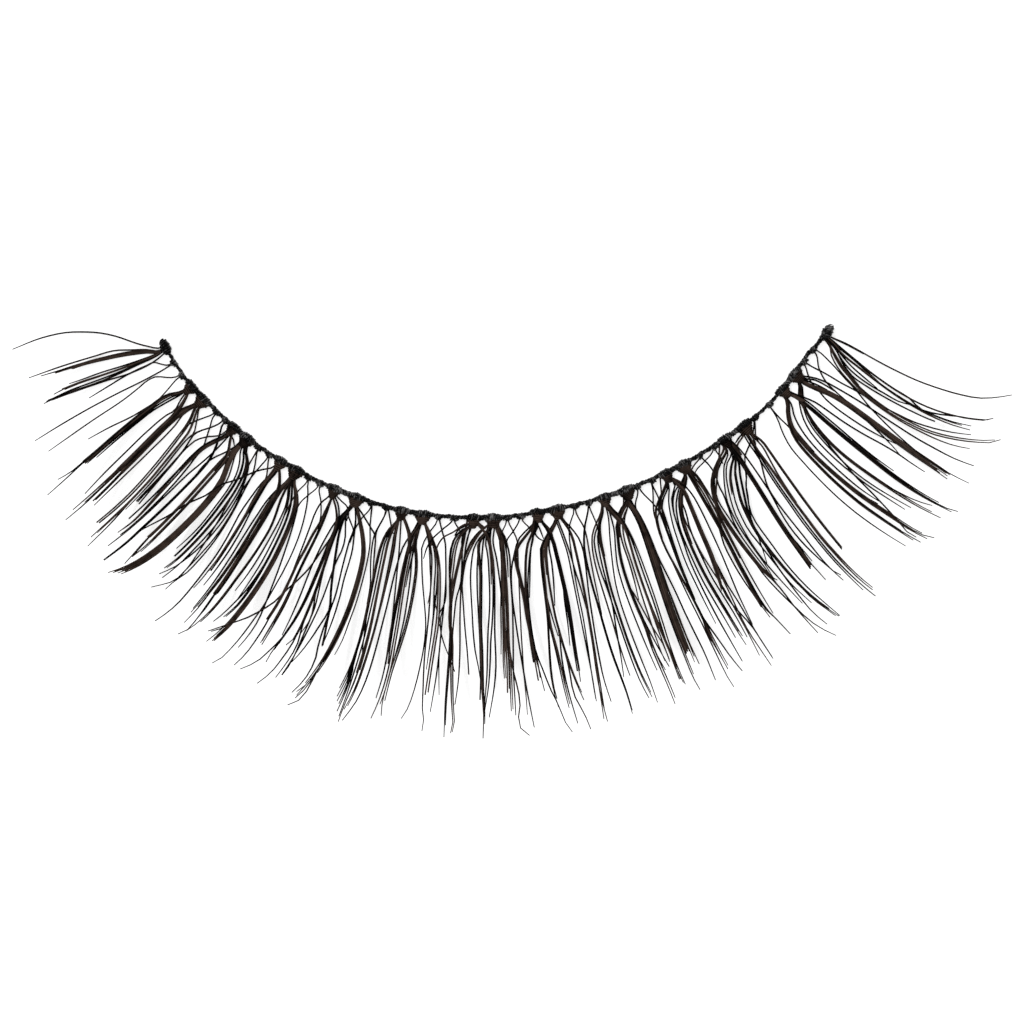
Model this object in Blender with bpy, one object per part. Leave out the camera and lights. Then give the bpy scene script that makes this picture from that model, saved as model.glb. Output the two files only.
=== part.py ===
"""A false eyelash strip: a thread band with lash clusters knotted round it, lying on a level surface.

Metres, +Z up. X runs along the strip, +Y is the eyelid side and the lashes point to -Y. The origin lies on
the surface, under the strip's middle knot. The lashes leave their knots along the surface and curl up.
"""

import math
from collections import namedtuple

import bmesh
import bpy
import numpy as np
from mathutils import Matrix, Vector

# Driving sizes of the band
BAND_LENGTH = 0.033
BAND_TURN = math.radians(117.5)
BAND_LEAN = math.radians(-1.0)
BAND_EASE = 0.08
BAND_SKEW = math.radians(3.2)
BAND_PIECES = 66
THREAD_DIAMETER = 0.000145
THREAD_TAIL = 0.0001

# Driving sizes of the knots
BORE_CLEARANCE = 0.00002
KNOT_WALL = 0.000108
KNOT_LENGTH = 0.0005
KNOT_SHOULDER = 0.00008
SPACER_WALL = 0.00003
SPACER_LENGTH = 0.00032
SHOULDER_SHRINK = 0.78
SIDES = 6

# Driving sizes of the lashes
LASH_REACH = 0.0092
LASH_RISE = 0.0036
LOCK_THICKNESS = 0.00012
LAYER_CLEARANCE = 0.00005

# Shares of the way out to LASH_REACH where a lock has a section, and where its chart holds a place
SECTION_REACHES = (0.05, 0.12, 0.22, 0.36, 0.52, 0.68, 0.84)
NEAR_REACH = 0.12
LAST_SECTION_GAP = 0.05

# A lock keeps its width to TAPER_START of its own reach and then narrows to TIP_WIDTH and TIP_THICKNESS
TAPER_START = 0.55
TIP_WIDTH = 0.3
TIP_THICKNESS = 0.4

# A lock's corners, as (along the band, up), in the order of the knot's openings
CORNERS = ((-1, -1), (1, -1), (1, 1), (-1, 1))

# The chart gives places along the band, and widths, in thousandths of BAND_LENGTH
MILLE = 0.001

Cluster = namedtuple("Cluster", "knot locks")
Lock = namedtuple("Lock", "near middle tip reach width")

# A row for each lash lock, from left to right: its place at NEAR_REACH, at half its reach and at its tip,
# its reach as a share of LASH_REACH, and its width
CLUSTERS = (
    Cluster(0, (
        Lock(-31, -74, -96, 0.605, 2.5),
        Lock(-13, -28, -44, 0.53, 7),
        Lock(-3, -11, -21.5, 0.545, 4),
        Lock(4, -3, -14, 0.60, 4),
    )),
    Cluster(60, (
        Lock(49, 47, 53, 0.66, 6),
        Lock(67.5, 68, 74, 0.685, 2.5),
    )),
    Cluster(82.5, (
        Lock(72.5, 74.5, 79, 0.80, 5),
        Lock(77.2, 79.5, 84, 0.68, 3.6),
        Lock(81.5, 85, 87.5, 0.69, 2.5),
        Lock(90, 98.5, 100.5, 0.74, 5),
        Lock(96.5, 105, 107, 0.82, 4),
    )),
    Cluster(135, (
        Lock(116, 110, 114, 0.54, 4),
        Lock(124.5, 119.5, 117.5, 0.62, 4),
        Lock(129, 125, 120.5, 0.74, 3.5),
        Lock(133.5, 129.5, 123.5, 0.80, 2.5),
        Lock(138, 135, 128, 0.83, 2.5),
    )),
    Cluster(157.5, (
        Lock(150, 147, 141, 0.66, 4.5),
        Lock(154.5, 151.5, 145, 0.70, 3),
        Lock(159.5, 163, 138, 0.87, 5.5),
        Lock(170, 175.5, 169, 0.60, 4),
        Lock(176, 182.5, 171, 0.72, 5),
        Lock(183, 192, 176, 0.79, 4),
    )),
    Cluster(210, (
        Lock(203, 203.5, 190, 0.91, 2.5),
        Lock(206.8, 207.2, 205.5, 0.60, 3.5),
        Lock(210.8, 211, 208.8, 0.66, 2.5),
    )),
    Cluster(232.5, (
        Lock(220.5, 217, 211, 0.79, 3),
        Lock(223.8, 221, 214, 0.86, 3),
        Lock(228, 226, 222, 0.67, 4.5),
        Lock(232.3, 235, 219.5, 0.87, 2.5),
        Lock(238.5, 243, 236.5, 0.61, 2.5),
        Lock(243.5, 249, 240, 0.74, 4),
        Lock(249.5, 258, 238.5, 0.88, 5.5),
    )),
    Cluster(287.5, (
        Lock(285, 278.5, 265.5, 0.905, 4.5),
        Lock(290, 286, 278.5, 0.775, 4),
    )),
    Cluster(317.5, (
        Lock(302, 295.5, 293.5, 0.64, 2.5),
        Lock(306.5, 303.5, 289, 0.83, 4),
        Lock(311, 308.5, 301, 0.74, 3),
        Lock(314.5, 316.5, 306, 0.87, 2.5),
        Lock(324, 327.5, 318, 0.93, 2.5),
        Lock(328.5, 332, 330.5, 0.69, 2.5),
        Lock(335.5, 346.5, 321.5, 0.96, 6),
    )),
    Cluster(377.5, (
        Lock(364, 362.5, 355.5, 0.89, 4.5),
        Lock(369.5, 368, 360.5, 0.97, 4),
        Lock(374.5, 375.3, 366, 0.94, 3.5),
        Lock(381.5, 388, 389, 0.86, 2.5),
    )),
    Cluster(405, (
        Lock(389.5, 380.5, 364, 0.995, 2.5),
        Lock(394, 391, 385.5, 0.86, 3),
        Lock(398.5, 395.5, 389, 0.95, 4.5),
        Lock(403.5, 405, 395.5, 0.93, 4.5),
        Lock(410, 421, 412.5, 0.935, 2.5),
        Lock(415, 427, 429.5, 0.98, 3),
        Lock(421, 435.5, 431.5, 0.815, 4.5),
    )),
    Cluster(470, (
        Lock(449, 448, 449.5, 1.0, 3.5),
        Lock(456.5, 453, 454.5, 0.985, 3),
        Lock(461, 458.2, 457.8, 0.86, 2.5),
        Lock(465.5, 462, 468, 0.71, 2.5),
    )),
    Cluster(495, (
        Lock(474, 470, 479, 0.78, 2.5),
        Lock(479.5, 479, 482, 1.0, 3.5),
        Lock(485, 488.5, 485.5, 0.84, 2.5),
        Lock(490.5, 494, 488, 0.905, 3),
        Lock(499.5, 502, 502, 0.77, 4.5),
        Lock(504.5, 507.5, 507.5, 0.88, 4.5),
        Lock(510.5, 515, 525, 0.965, 3),
    )),
    Cluster(552.5, (
        Lock(524, 525.5, 534, 0.755, 4),
        Lock(538.5, 531, 555, 1.0, 3),
        Lock(557.5, 557, 570, 0.865, 2.5),
        Lock(564, 571.5, 571, 0.775, 5),
    )),
    Cluster(577.5, (
        Lock(555, 548.5, 548, 0.87, 4),
        Lock(559.5, 553.5, 557, 0.89, 4),
        Lock(564, 559, 570.5, 1.0, 2.5),
        Lock(577.5, 581.5, 581.5, 0.88, 3),
        Lock(587, 588.5, 586.5, 0.965, 5.5),
        Lock(595, 595, 594, 0.895, 2.5),
    )),
    Cluster(640, (
        Lock(616, 610.5, 615, 0.80, 2.5),
        Lock(619.5, 616, 624.5, 0.92, 2.5),
        Lock(624, 620.5, 629, 0.93, 3.5),
        Lock(633.5, 626.5, 633, 0.955, 2.5),
        Lock(639, 632.5, 640, 0.81, 2.5),
        Lock(649.5, 652.3, 659, 0.90, 4.5),
        Lock(655, 659, 659, 0.62, 3),
    )),
    Cluster(670, (
        Lock(645.5, 638.5, 647, 0.98, 4.5),
        Lock(650.5, 645.5, 653, 0.79, 3.5),
        Lock(669.5, 669, 670.5, 0.955, 4.5),
        Lock(674.5, 674.3, 676.5, 0.84, 5),
        Lock(679, 681, 685.5, 0.94, 2.5),
    )),
    Cluster(725, (
        Lock(695.5, 693.5, 699, 0.92, 5.5),
        Lock(701, 700, 709, 0.95, 3),
        Lock(714, 704, 706, 0.70, 2.5),
        Lock(718.5, 708, 713, 0.91, 2.5),
        Lock(736.5, 730.5, 728.5, 0.92, 5.5),
        Lock(742, 739.5, 737, 0.96, 3),
    )),
    Cluster(750, (
        Lock(723, 710.8, 716.5, 0.80, 3),
        Lock(728, 715.8, 722, 0.85, 4),
        Lock(733, 722.5, 727, 0.82, 3),
        Lock(750.5, 752, 753.5, 0.79, 5.5),
        Lock(757, 757.5, 759, 0.86, 2.5),
    )),
    Cluster(812.5, (
        Lock(772, 765.5, 790, 1.01, 4.5),
        Lock(788, 773, 784, 0.81, 3),
        Lock(797, 778.5, 792, 0.95, 3),
        Lock(804, 784.5, 803.5, 0.955, 3.5),
        Lock(814, 810, 808, 0.72, 6),
        Lock(820.5, 817.5, 825, 0.82, 3),
    )),
    Cluster(842.5, (
        Lock(834, 828, 833.5, 0.92, 3.5),
        Lock(838.5, 833, 839.5, 0.945, 4),
        Lock(847.5, 844, 841.5, 0.715, 2.8),
    )),
    Cluster(910, (
        Lock(885.5, 880, 895, 0.93, 3),
        Lock(890.5, 885.5, 903, 0.95, 4.5),
        Lock(897, 890.5, 897.5, 0.67, 2.5),
        Lock(917, 920.5, 933.5, 0.94, 4.5),
        Lock(925, 933.5, 943, 0.73, 2.5),
    )),
    Cluster(935, (
        Lock(907.5, 895.5, 906, 0.775, 2.5),
        Lock(911.5, 900, 911.5, 0.79, 2.5),
        Lock(916, 906.5, 922, 0.92, 4),
        Lock(940.5, 950, 953.5, 0.83, 6.5),
        Lock(950.5, 961, 973.5, 0.895, 2.5),
    )),
    Cluster(1000, (
        Lock(975.5, 966.5, 982, 0.83, 3.5),
        Lock(981, 972, 1005, 0.925, 4),
        Lock(985.5, 977.5, 987, 0.63, 2.5),
        Lock(990.5, 985.5, 998, 0.79, 4),
        Lock(995.5, 991.5, 1022, 0.845, 3),
        Lock(1004.5, 1011, 1060, 0.855, 3),
    )),
)

# The plain knots between the clusters, in pairs
SPACERS = (
    22.5, 40, 105, 120, 175, 192.5, 250, 267.5, 337.5, 357.5, 425, 445,
    512.5, 530, 600, 620, 685, 705, 775, 797.5, 860, 885, 955, 975,
)

# The knot over the origin, counted from the left
MIDDLE_CLUSTER = 12

THREAD_COLOUR = (0.004, 0.004, 0.005, 1.0)
HAIR_COLOUR = (0.010, 0.007, 0.006, 1.0)

KNOT_HEIGHT = THREAD_DIAMETER + 2 * (BORE_CLEARANCE + KNOT_WALL)
SPACER_HEIGHT = THREAD_DIAMETER + 2 * (BORE_CLEARANCE + SPACER_WALL)
AXIS_HEIGHT = KNOT_HEIGHT / 2
LAYER_STEP = LOCK_THICKNESS + LAYER_CLEARANCE


# Shape of the band and of the lash sheet


def heading(share):
    """The band's direction at a share of its length, as an angle from +X towards -Y."""
    across = 2 * share - 1
    bend = across * (1 - BAND_EASE) + BAND_EASE * across**3
    return BAND_LEAN - BAND_TURN / 2 * bend + BAND_SKEW * (across**2 - 1 / 3)


def band_line():
    """Shares along the band with the plan points there, the middle knot at the origin."""
    steps = BAND_PIECES * 8
    shares = np.linspace(0.0, 1.0, steps + 1)
    angles = heading((shares[:-1] + shares[1:]) / 2)
    moves = np.stack([np.cos(angles), -np.sin(angles)], axis=1) * BAND_LENGTH / steps
    points = np.concatenate([np.zeros((1, 2)), np.cumsum(moves, axis=0)])
    middle = CLUSTERS[MIDDLE_CLUSTER].knot * MILLE
    return shares, points - [np.interp(middle, shares, points[:, axis]) for axis in (0, 1)]


LINE_SHARES, LINE_POINTS = band_line()


def tangent(share):
    """Plan direction along the band, straight on past its ends."""
    angle = heading(min(max(share, 0.0), 1.0))
    return np.array([math.cos(angle), -math.sin(angle)])


def outward(share):
    """Plan direction square to the band, towards the lash tips."""
    along = tangent(share)
    return np.array([along[1], -along[0]])


def band_point(share):
    """Plan point on the band, carried straight on past its ends."""
    held = min(max(share, 0.0), 1.0)
    point = np.array([np.interp(held, LINE_SHARES, LINE_POINTS[:, axis]) for axis in (0, 1)])
    return point + tangent(share) * (share - held) * BAND_LENGTH


def sheet_point(share, reach):
    """Plan point of the lash sheet: out from the band by a share of LASH_REACH."""
    return band_point(share) + outward(share) * reach * LASH_REACH


def sheet_height(reach, root_height, layer):
    """Height of a lock's middle: a parabola that dips from the knot to the surface and then curls up."""
    belly = LOCK_THICKNESS / 2
    dip = math.sqrt(max(root_height - belly, 0.0) / LASH_RISE)
    belly_reach = dip / (1 + dip)
    curl = LASH_RISE * ((reach - belly_reach) / (1 - belly_reach)) ** 2
    return belly + curl + layer * LAYER_STEP


def smooth(places, values, wanted):
    """Values on the smooth curve through the given places, with slopes from its neighbours."""
    slopes = np.gradient(values, places)
    piece = np.clip(np.searchsorted(places, wanted, side="right") - 1, 0, len(places) - 2)
    span = places[piece + 1] - places[piece]
    way = (wanted - places[piece]) / span
    start = (2 * way**3 - 3 * way**2 + 1) * values[piece] + (way**3 - 2 * way**2 + way) * span * slopes[piece]
    end = (3 * way**2 - 2 * way**3) * values[piece + 1] + (way**3 - way**2) * span * slopes[piece + 1]
    return start + end


# Sections


def hexagon(height):
    """Corners of a six-sided section with flat top and bottom, as (outward, up) from its middle."""
    radius = height / 2 / math.cos(math.pi / SIDES)
    turns = [2 * math.pi * corner / SIDES for corner in range(SIDES)]
    return [(radius * math.cos(turn), radius * math.sin(turn)) for turn in turns]


def add_ring(mesh, along, height):
    """A hexagon of points round a knot's own axis, which is local X, with local -Y outward."""
    return [mesh.verts.new((along, -out, up)) for out, up in hexagon(height)]


def join_rings(mesh, first, second, skipped=()):
    """Faces between two rings of points, apart from the sides that are skipped."""
    for side in range(len(first)):
        if side not in skipped:
            after = (side + 1) % len(first)
            mesh.faces.new((first[side], first[after], second[after], second[side]))


def finish_mesh(mesh, name):
    """The closed mesh as Blender data, with its faces pointing out."""
    bmesh.ops.recalc_face_normals(mesh, faces=mesh.faces)
    if mesh.calc_volume(signed=True) < 0:
        bmesh.ops.reverse_faces(mesh, faces=mesh.faces)
    data = bpy.data.meshes.new(name)
    mesh.to_mesh(data)
    mesh.free()
    return data


# Knots


def add_knot(mesh, length, height, shoulder, pieces, root_side=None):
    """A bored barrel on local X with shoulders at both ends.

    Where root_side is given, that side is left open, and the corners of its openings are returned, one
    for each piece, so that a lock can grow from it.
    """
    marks = [-length / 2 + shoulder + (length - 2 * shoulder) * step / pieces for step in range(pieces + 1)]
    first = add_ring(mesh, -length / 2, height * SHOULDER_SHRINK)
    last = add_ring(mesh, length / 2, height * SHOULDER_SHRINK)
    barrel = [add_ring(mesh, mark, height) for mark in marks]
    skipped = () if root_side is None else (root_side,)
    for before, after in zip(barrel[:-1], barrel[1:]):
        join_rings(mesh, before, after, skipped)
    join_rings(mesh, first, barrel[0])
    join_rings(mesh, barrel[-1], last)
    bore_height = THREAD_DIAMETER + 2 * BORE_CLEARANCE
    bore_first = add_ring(mesh, -length / 2, bore_height)
    bore_last = add_ring(mesh, length / 2, bore_height)
    join_rings(mesh, first, bore_first)
    join_rings(mesh, last, bore_last)
    join_rings(mesh, bore_first, bore_last)
    if root_side is None:
        return []
    after = (root_side + 1) % SIDES
    return [
        (before[root_side], right[root_side], right[after], before[after])
        for before, right in zip(barrel[:-1], barrel[1:])
    ]


# Locks


def lock_sections(lock, root_share, root_width, root_height, layer, to_local):
    """The corners of each section of a lock, low left, low right, high right and high left."""
    reaches = [reach for reach in SECTION_REACHES if reach < lock.reach - LAST_SECTION_GAP] + [lock.reach]
    places = np.array([0.0, NEAR_REACH, lock.reach / 2, lock.reach])
    charted = np.array([root_share, lock.near * MILLE, lock.middle * MILLE, lock.tip * MILLE])
    shares = smooth(places, charted, np.array(reaches))
    plan = [sheet_point(share, reach) for share, reach in zip(shares, reaches)]
    line = [sheet_point(root_share, 0.0)] + plan
    sections = []
    for index, reach in enumerate(reaches):
        ahead = line[min(index + 2, len(line) - 1)] - line[index]
        aside = np.array([-ahead[1], ahead[0]]) / np.linalg.norm(ahead)
        own_way = reach / lock.reach
        full_width = lock.width * MILLE * BAND_LENGTH
        width = np.interp(own_way, (TAPER_START, 1.0), (1.0, TIP_WIDTH)) * full_width
        width = min(width, np.interp(reach, (0.0, NEAR_REACH), (root_width, full_width)))
        thickness = np.interp(own_way, (TAPER_START, 1.0), (1.0, TIP_THICKNESS)) * LOCK_THICKNESS
        height = sheet_height(reach, root_height, layer)
        corners = []
        for across, up in CORNERS:
            spot = plan[index] + aside * across * width / 2
            corners.append(to_local @ Vector((spot[0], spot[1], height + up * thickness / 2)))
        sections.append(corners)
    return sections


def grow_lock(mesh, opening, sections):
    """A tapered lock from an opening in the knot through its sections to a closed tip."""
    before = list(opening)
    for corners in sections:
        after = [mesh.verts.new(corner) for corner in corners]
        join_rings(mesh, before, after)
        before = after
    mesh.faces.new(before)


# Objects


def make_material(name, colour, roughness):
    material = bpy.data.materials.new(name)
    material.use_nodes = True
    shader = material.node_tree.nodes["Principled BSDF"]
    shader.inputs["Base Color"].default_value = colour
    shader.inputs["Roughness"].default_value = roughness
    shader.inputs["Metallic"].default_value = 0.0
    return material


def add_object(name, data, material, place=None):
    piece = bpy.data.objects.new(name, data)
    if not data.materials:
        data.materials.append(material)
    if place is not None:
        piece.matrix_world = place
    bpy.context.scene.collection.objects.link(piece)
    return piece


def knot_place(share):
    """Where a knot stands: on the band's axis, its own X along the band."""
    spot = band_point(share)
    turn = Matrix.Rotation(-heading(share), 4, "Z")
    return Matrix.Translation((spot[0], spot[1], AXIS_HEIGHT)) @ turn


def make_band(material):
    """The thread that every knot is tied round, a tail past the end knots at both ends."""
    mesh = bmesh.new()
    over = (KNOT_LENGTH / 2 + THREAD_TAIL) / BAND_LENGTH
    rings = []
    for share in np.linspace(-over, 1 + over, BAND_PIECES + 1):
        spot = band_point(share)
        out = outward(share)
        rings.append([
            mesh.verts.new((spot[0] + out[0] * away, spot[1] + out[1] * away, AXIS_HEIGHT + up))
            for away, up in hexagon(THREAD_DIAMETER)
        ])
    for before, after in zip(rings[:-1], rings[1:]):
        join_rings(mesh, before, after)
    mesh.faces.new(rings[0])
    mesh.faces.new(rings[-1])
    return add_object("band_thread", finish_mesh(mesh, "band_thread"), material)


def make_cluster(number, cluster, material):
    """A knot with its lash locks. Clusters take turns between a low and a high layer, so locks can cross."""
    layer = number % 2
    share = cluster.knot * MILLE
    place = knot_place(share)
    mesh = bmesh.new()
    low_front, high_front = SIDES - 1, 0
    root_side = high_front if layer else low_front
    count = len(cluster.locks)
    openings = add_knot(mesh, KNOT_LENGTH, KNOT_HEIGHT, KNOT_SHOULDER, count, root_side)
    barrel = (KNOT_LENGTH - 2 * KNOT_SHOULDER) / BAND_LENGTH
    root_height = KNOT_HEIGHT / 4
    for index, (lock, opening) in enumerate(zip(cluster.locks, openings)):
        root_share = share + barrel * ((index + 0.5) / count - 0.5)
        root_width = barrel * BAND_LENGTH / count
        sections = lock_sections(lock, root_share, root_width, root_height, layer, place.inverted())
        grow_lock(mesh, opening, sections)
    name = f"lash_cluster_{number + 1:02d}"
    return add_object(name, finish_mesh(mesh, name), material, place)


def make_spacers(material):
    """The plain knots, which share one mesh."""
    mesh = bmesh.new()
    add_knot(mesh, SPACER_LENGTH, SPACER_HEIGHT, SPACER_LENGTH / 4, 1)
    data = finish_mesh(mesh, "spacer_knot")
    return [
        add_object(f"spacer_knot_{number:02d}", data, material, knot_place(place * MILLE))
        for number, place in enumerate(SPACERS, start=1)
    ]


def clear_scene():
    for piece in list(bpy.data.objects):
        bpy.data.objects.remove(piece, do_unlink=True)


def main():
    clear_scene()
    thread = make_material("thread", THREAD_COLOUR, 0.4)
    hair = make_material("hair", HAIR_COLOUR, 0.35)
    make_band(thread)
    for number, cluster in enumerate(CLUSTERS):
        make_cluster(number, cluster, hair)
    make_spacers(thread)


main()
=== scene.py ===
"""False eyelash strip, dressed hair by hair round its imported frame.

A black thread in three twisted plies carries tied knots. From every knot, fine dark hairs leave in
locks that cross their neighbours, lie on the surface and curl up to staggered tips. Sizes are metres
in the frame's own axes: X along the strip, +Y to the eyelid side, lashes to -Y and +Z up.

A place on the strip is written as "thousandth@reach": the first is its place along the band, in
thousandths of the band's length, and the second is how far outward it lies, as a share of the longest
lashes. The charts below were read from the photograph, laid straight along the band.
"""

import logging
import math
from dataclasses import dataclass, field
from enum import Enum
from typing import Sequence

import bpy
import numpy as np
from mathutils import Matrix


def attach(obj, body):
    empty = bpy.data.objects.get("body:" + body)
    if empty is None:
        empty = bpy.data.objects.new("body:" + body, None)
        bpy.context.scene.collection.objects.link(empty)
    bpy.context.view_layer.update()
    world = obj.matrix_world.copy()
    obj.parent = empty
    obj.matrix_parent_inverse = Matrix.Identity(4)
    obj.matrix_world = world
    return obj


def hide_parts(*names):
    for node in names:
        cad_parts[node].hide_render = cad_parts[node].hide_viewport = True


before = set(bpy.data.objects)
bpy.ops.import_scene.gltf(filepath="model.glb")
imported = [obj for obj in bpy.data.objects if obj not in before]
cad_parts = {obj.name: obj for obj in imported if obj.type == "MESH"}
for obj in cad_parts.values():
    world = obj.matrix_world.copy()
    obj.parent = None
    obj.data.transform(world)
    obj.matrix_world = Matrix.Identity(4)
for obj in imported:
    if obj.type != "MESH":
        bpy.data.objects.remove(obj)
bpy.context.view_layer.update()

LOG = logging.getLogger("eyelash_strip")
THOUSANDTH = 0.001
FIBRE_SIDES = 6
UPWARD = np.array([0.0, 0.0, 1.0])

Array = np.ndarray


class End(Enum):
    """How the hairs of a lock end."""

    FINE = "fine"
    CUT = "cut"


FINE, CUT = End.FINE, End.CUT


class Slot(Enum):
    """The material slots."""

    THREAD = "thread"
    HAIR = "hair"


# The chart of the strip


@dataclass(frozen=True)
class Lock:
    """Hairs that leave a knot together and lie side by side.

    path lists the places that the lock passes, as "thousandth@reach". width is in thousandths of the
    band, and 0 makes a single hair. Each split leaves the lock just before its own first place.
    """

    path: str
    width: float = 0.0
    end: End = FINE
    splits: tuple["Lock | str", ...] = ()


@dataclass(frozen=True)
class Tie:
    """A knot at a thousandth of the band, with the locks that leave it."""

    place: float
    locks: tuple["Lock | str", ...]


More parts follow.
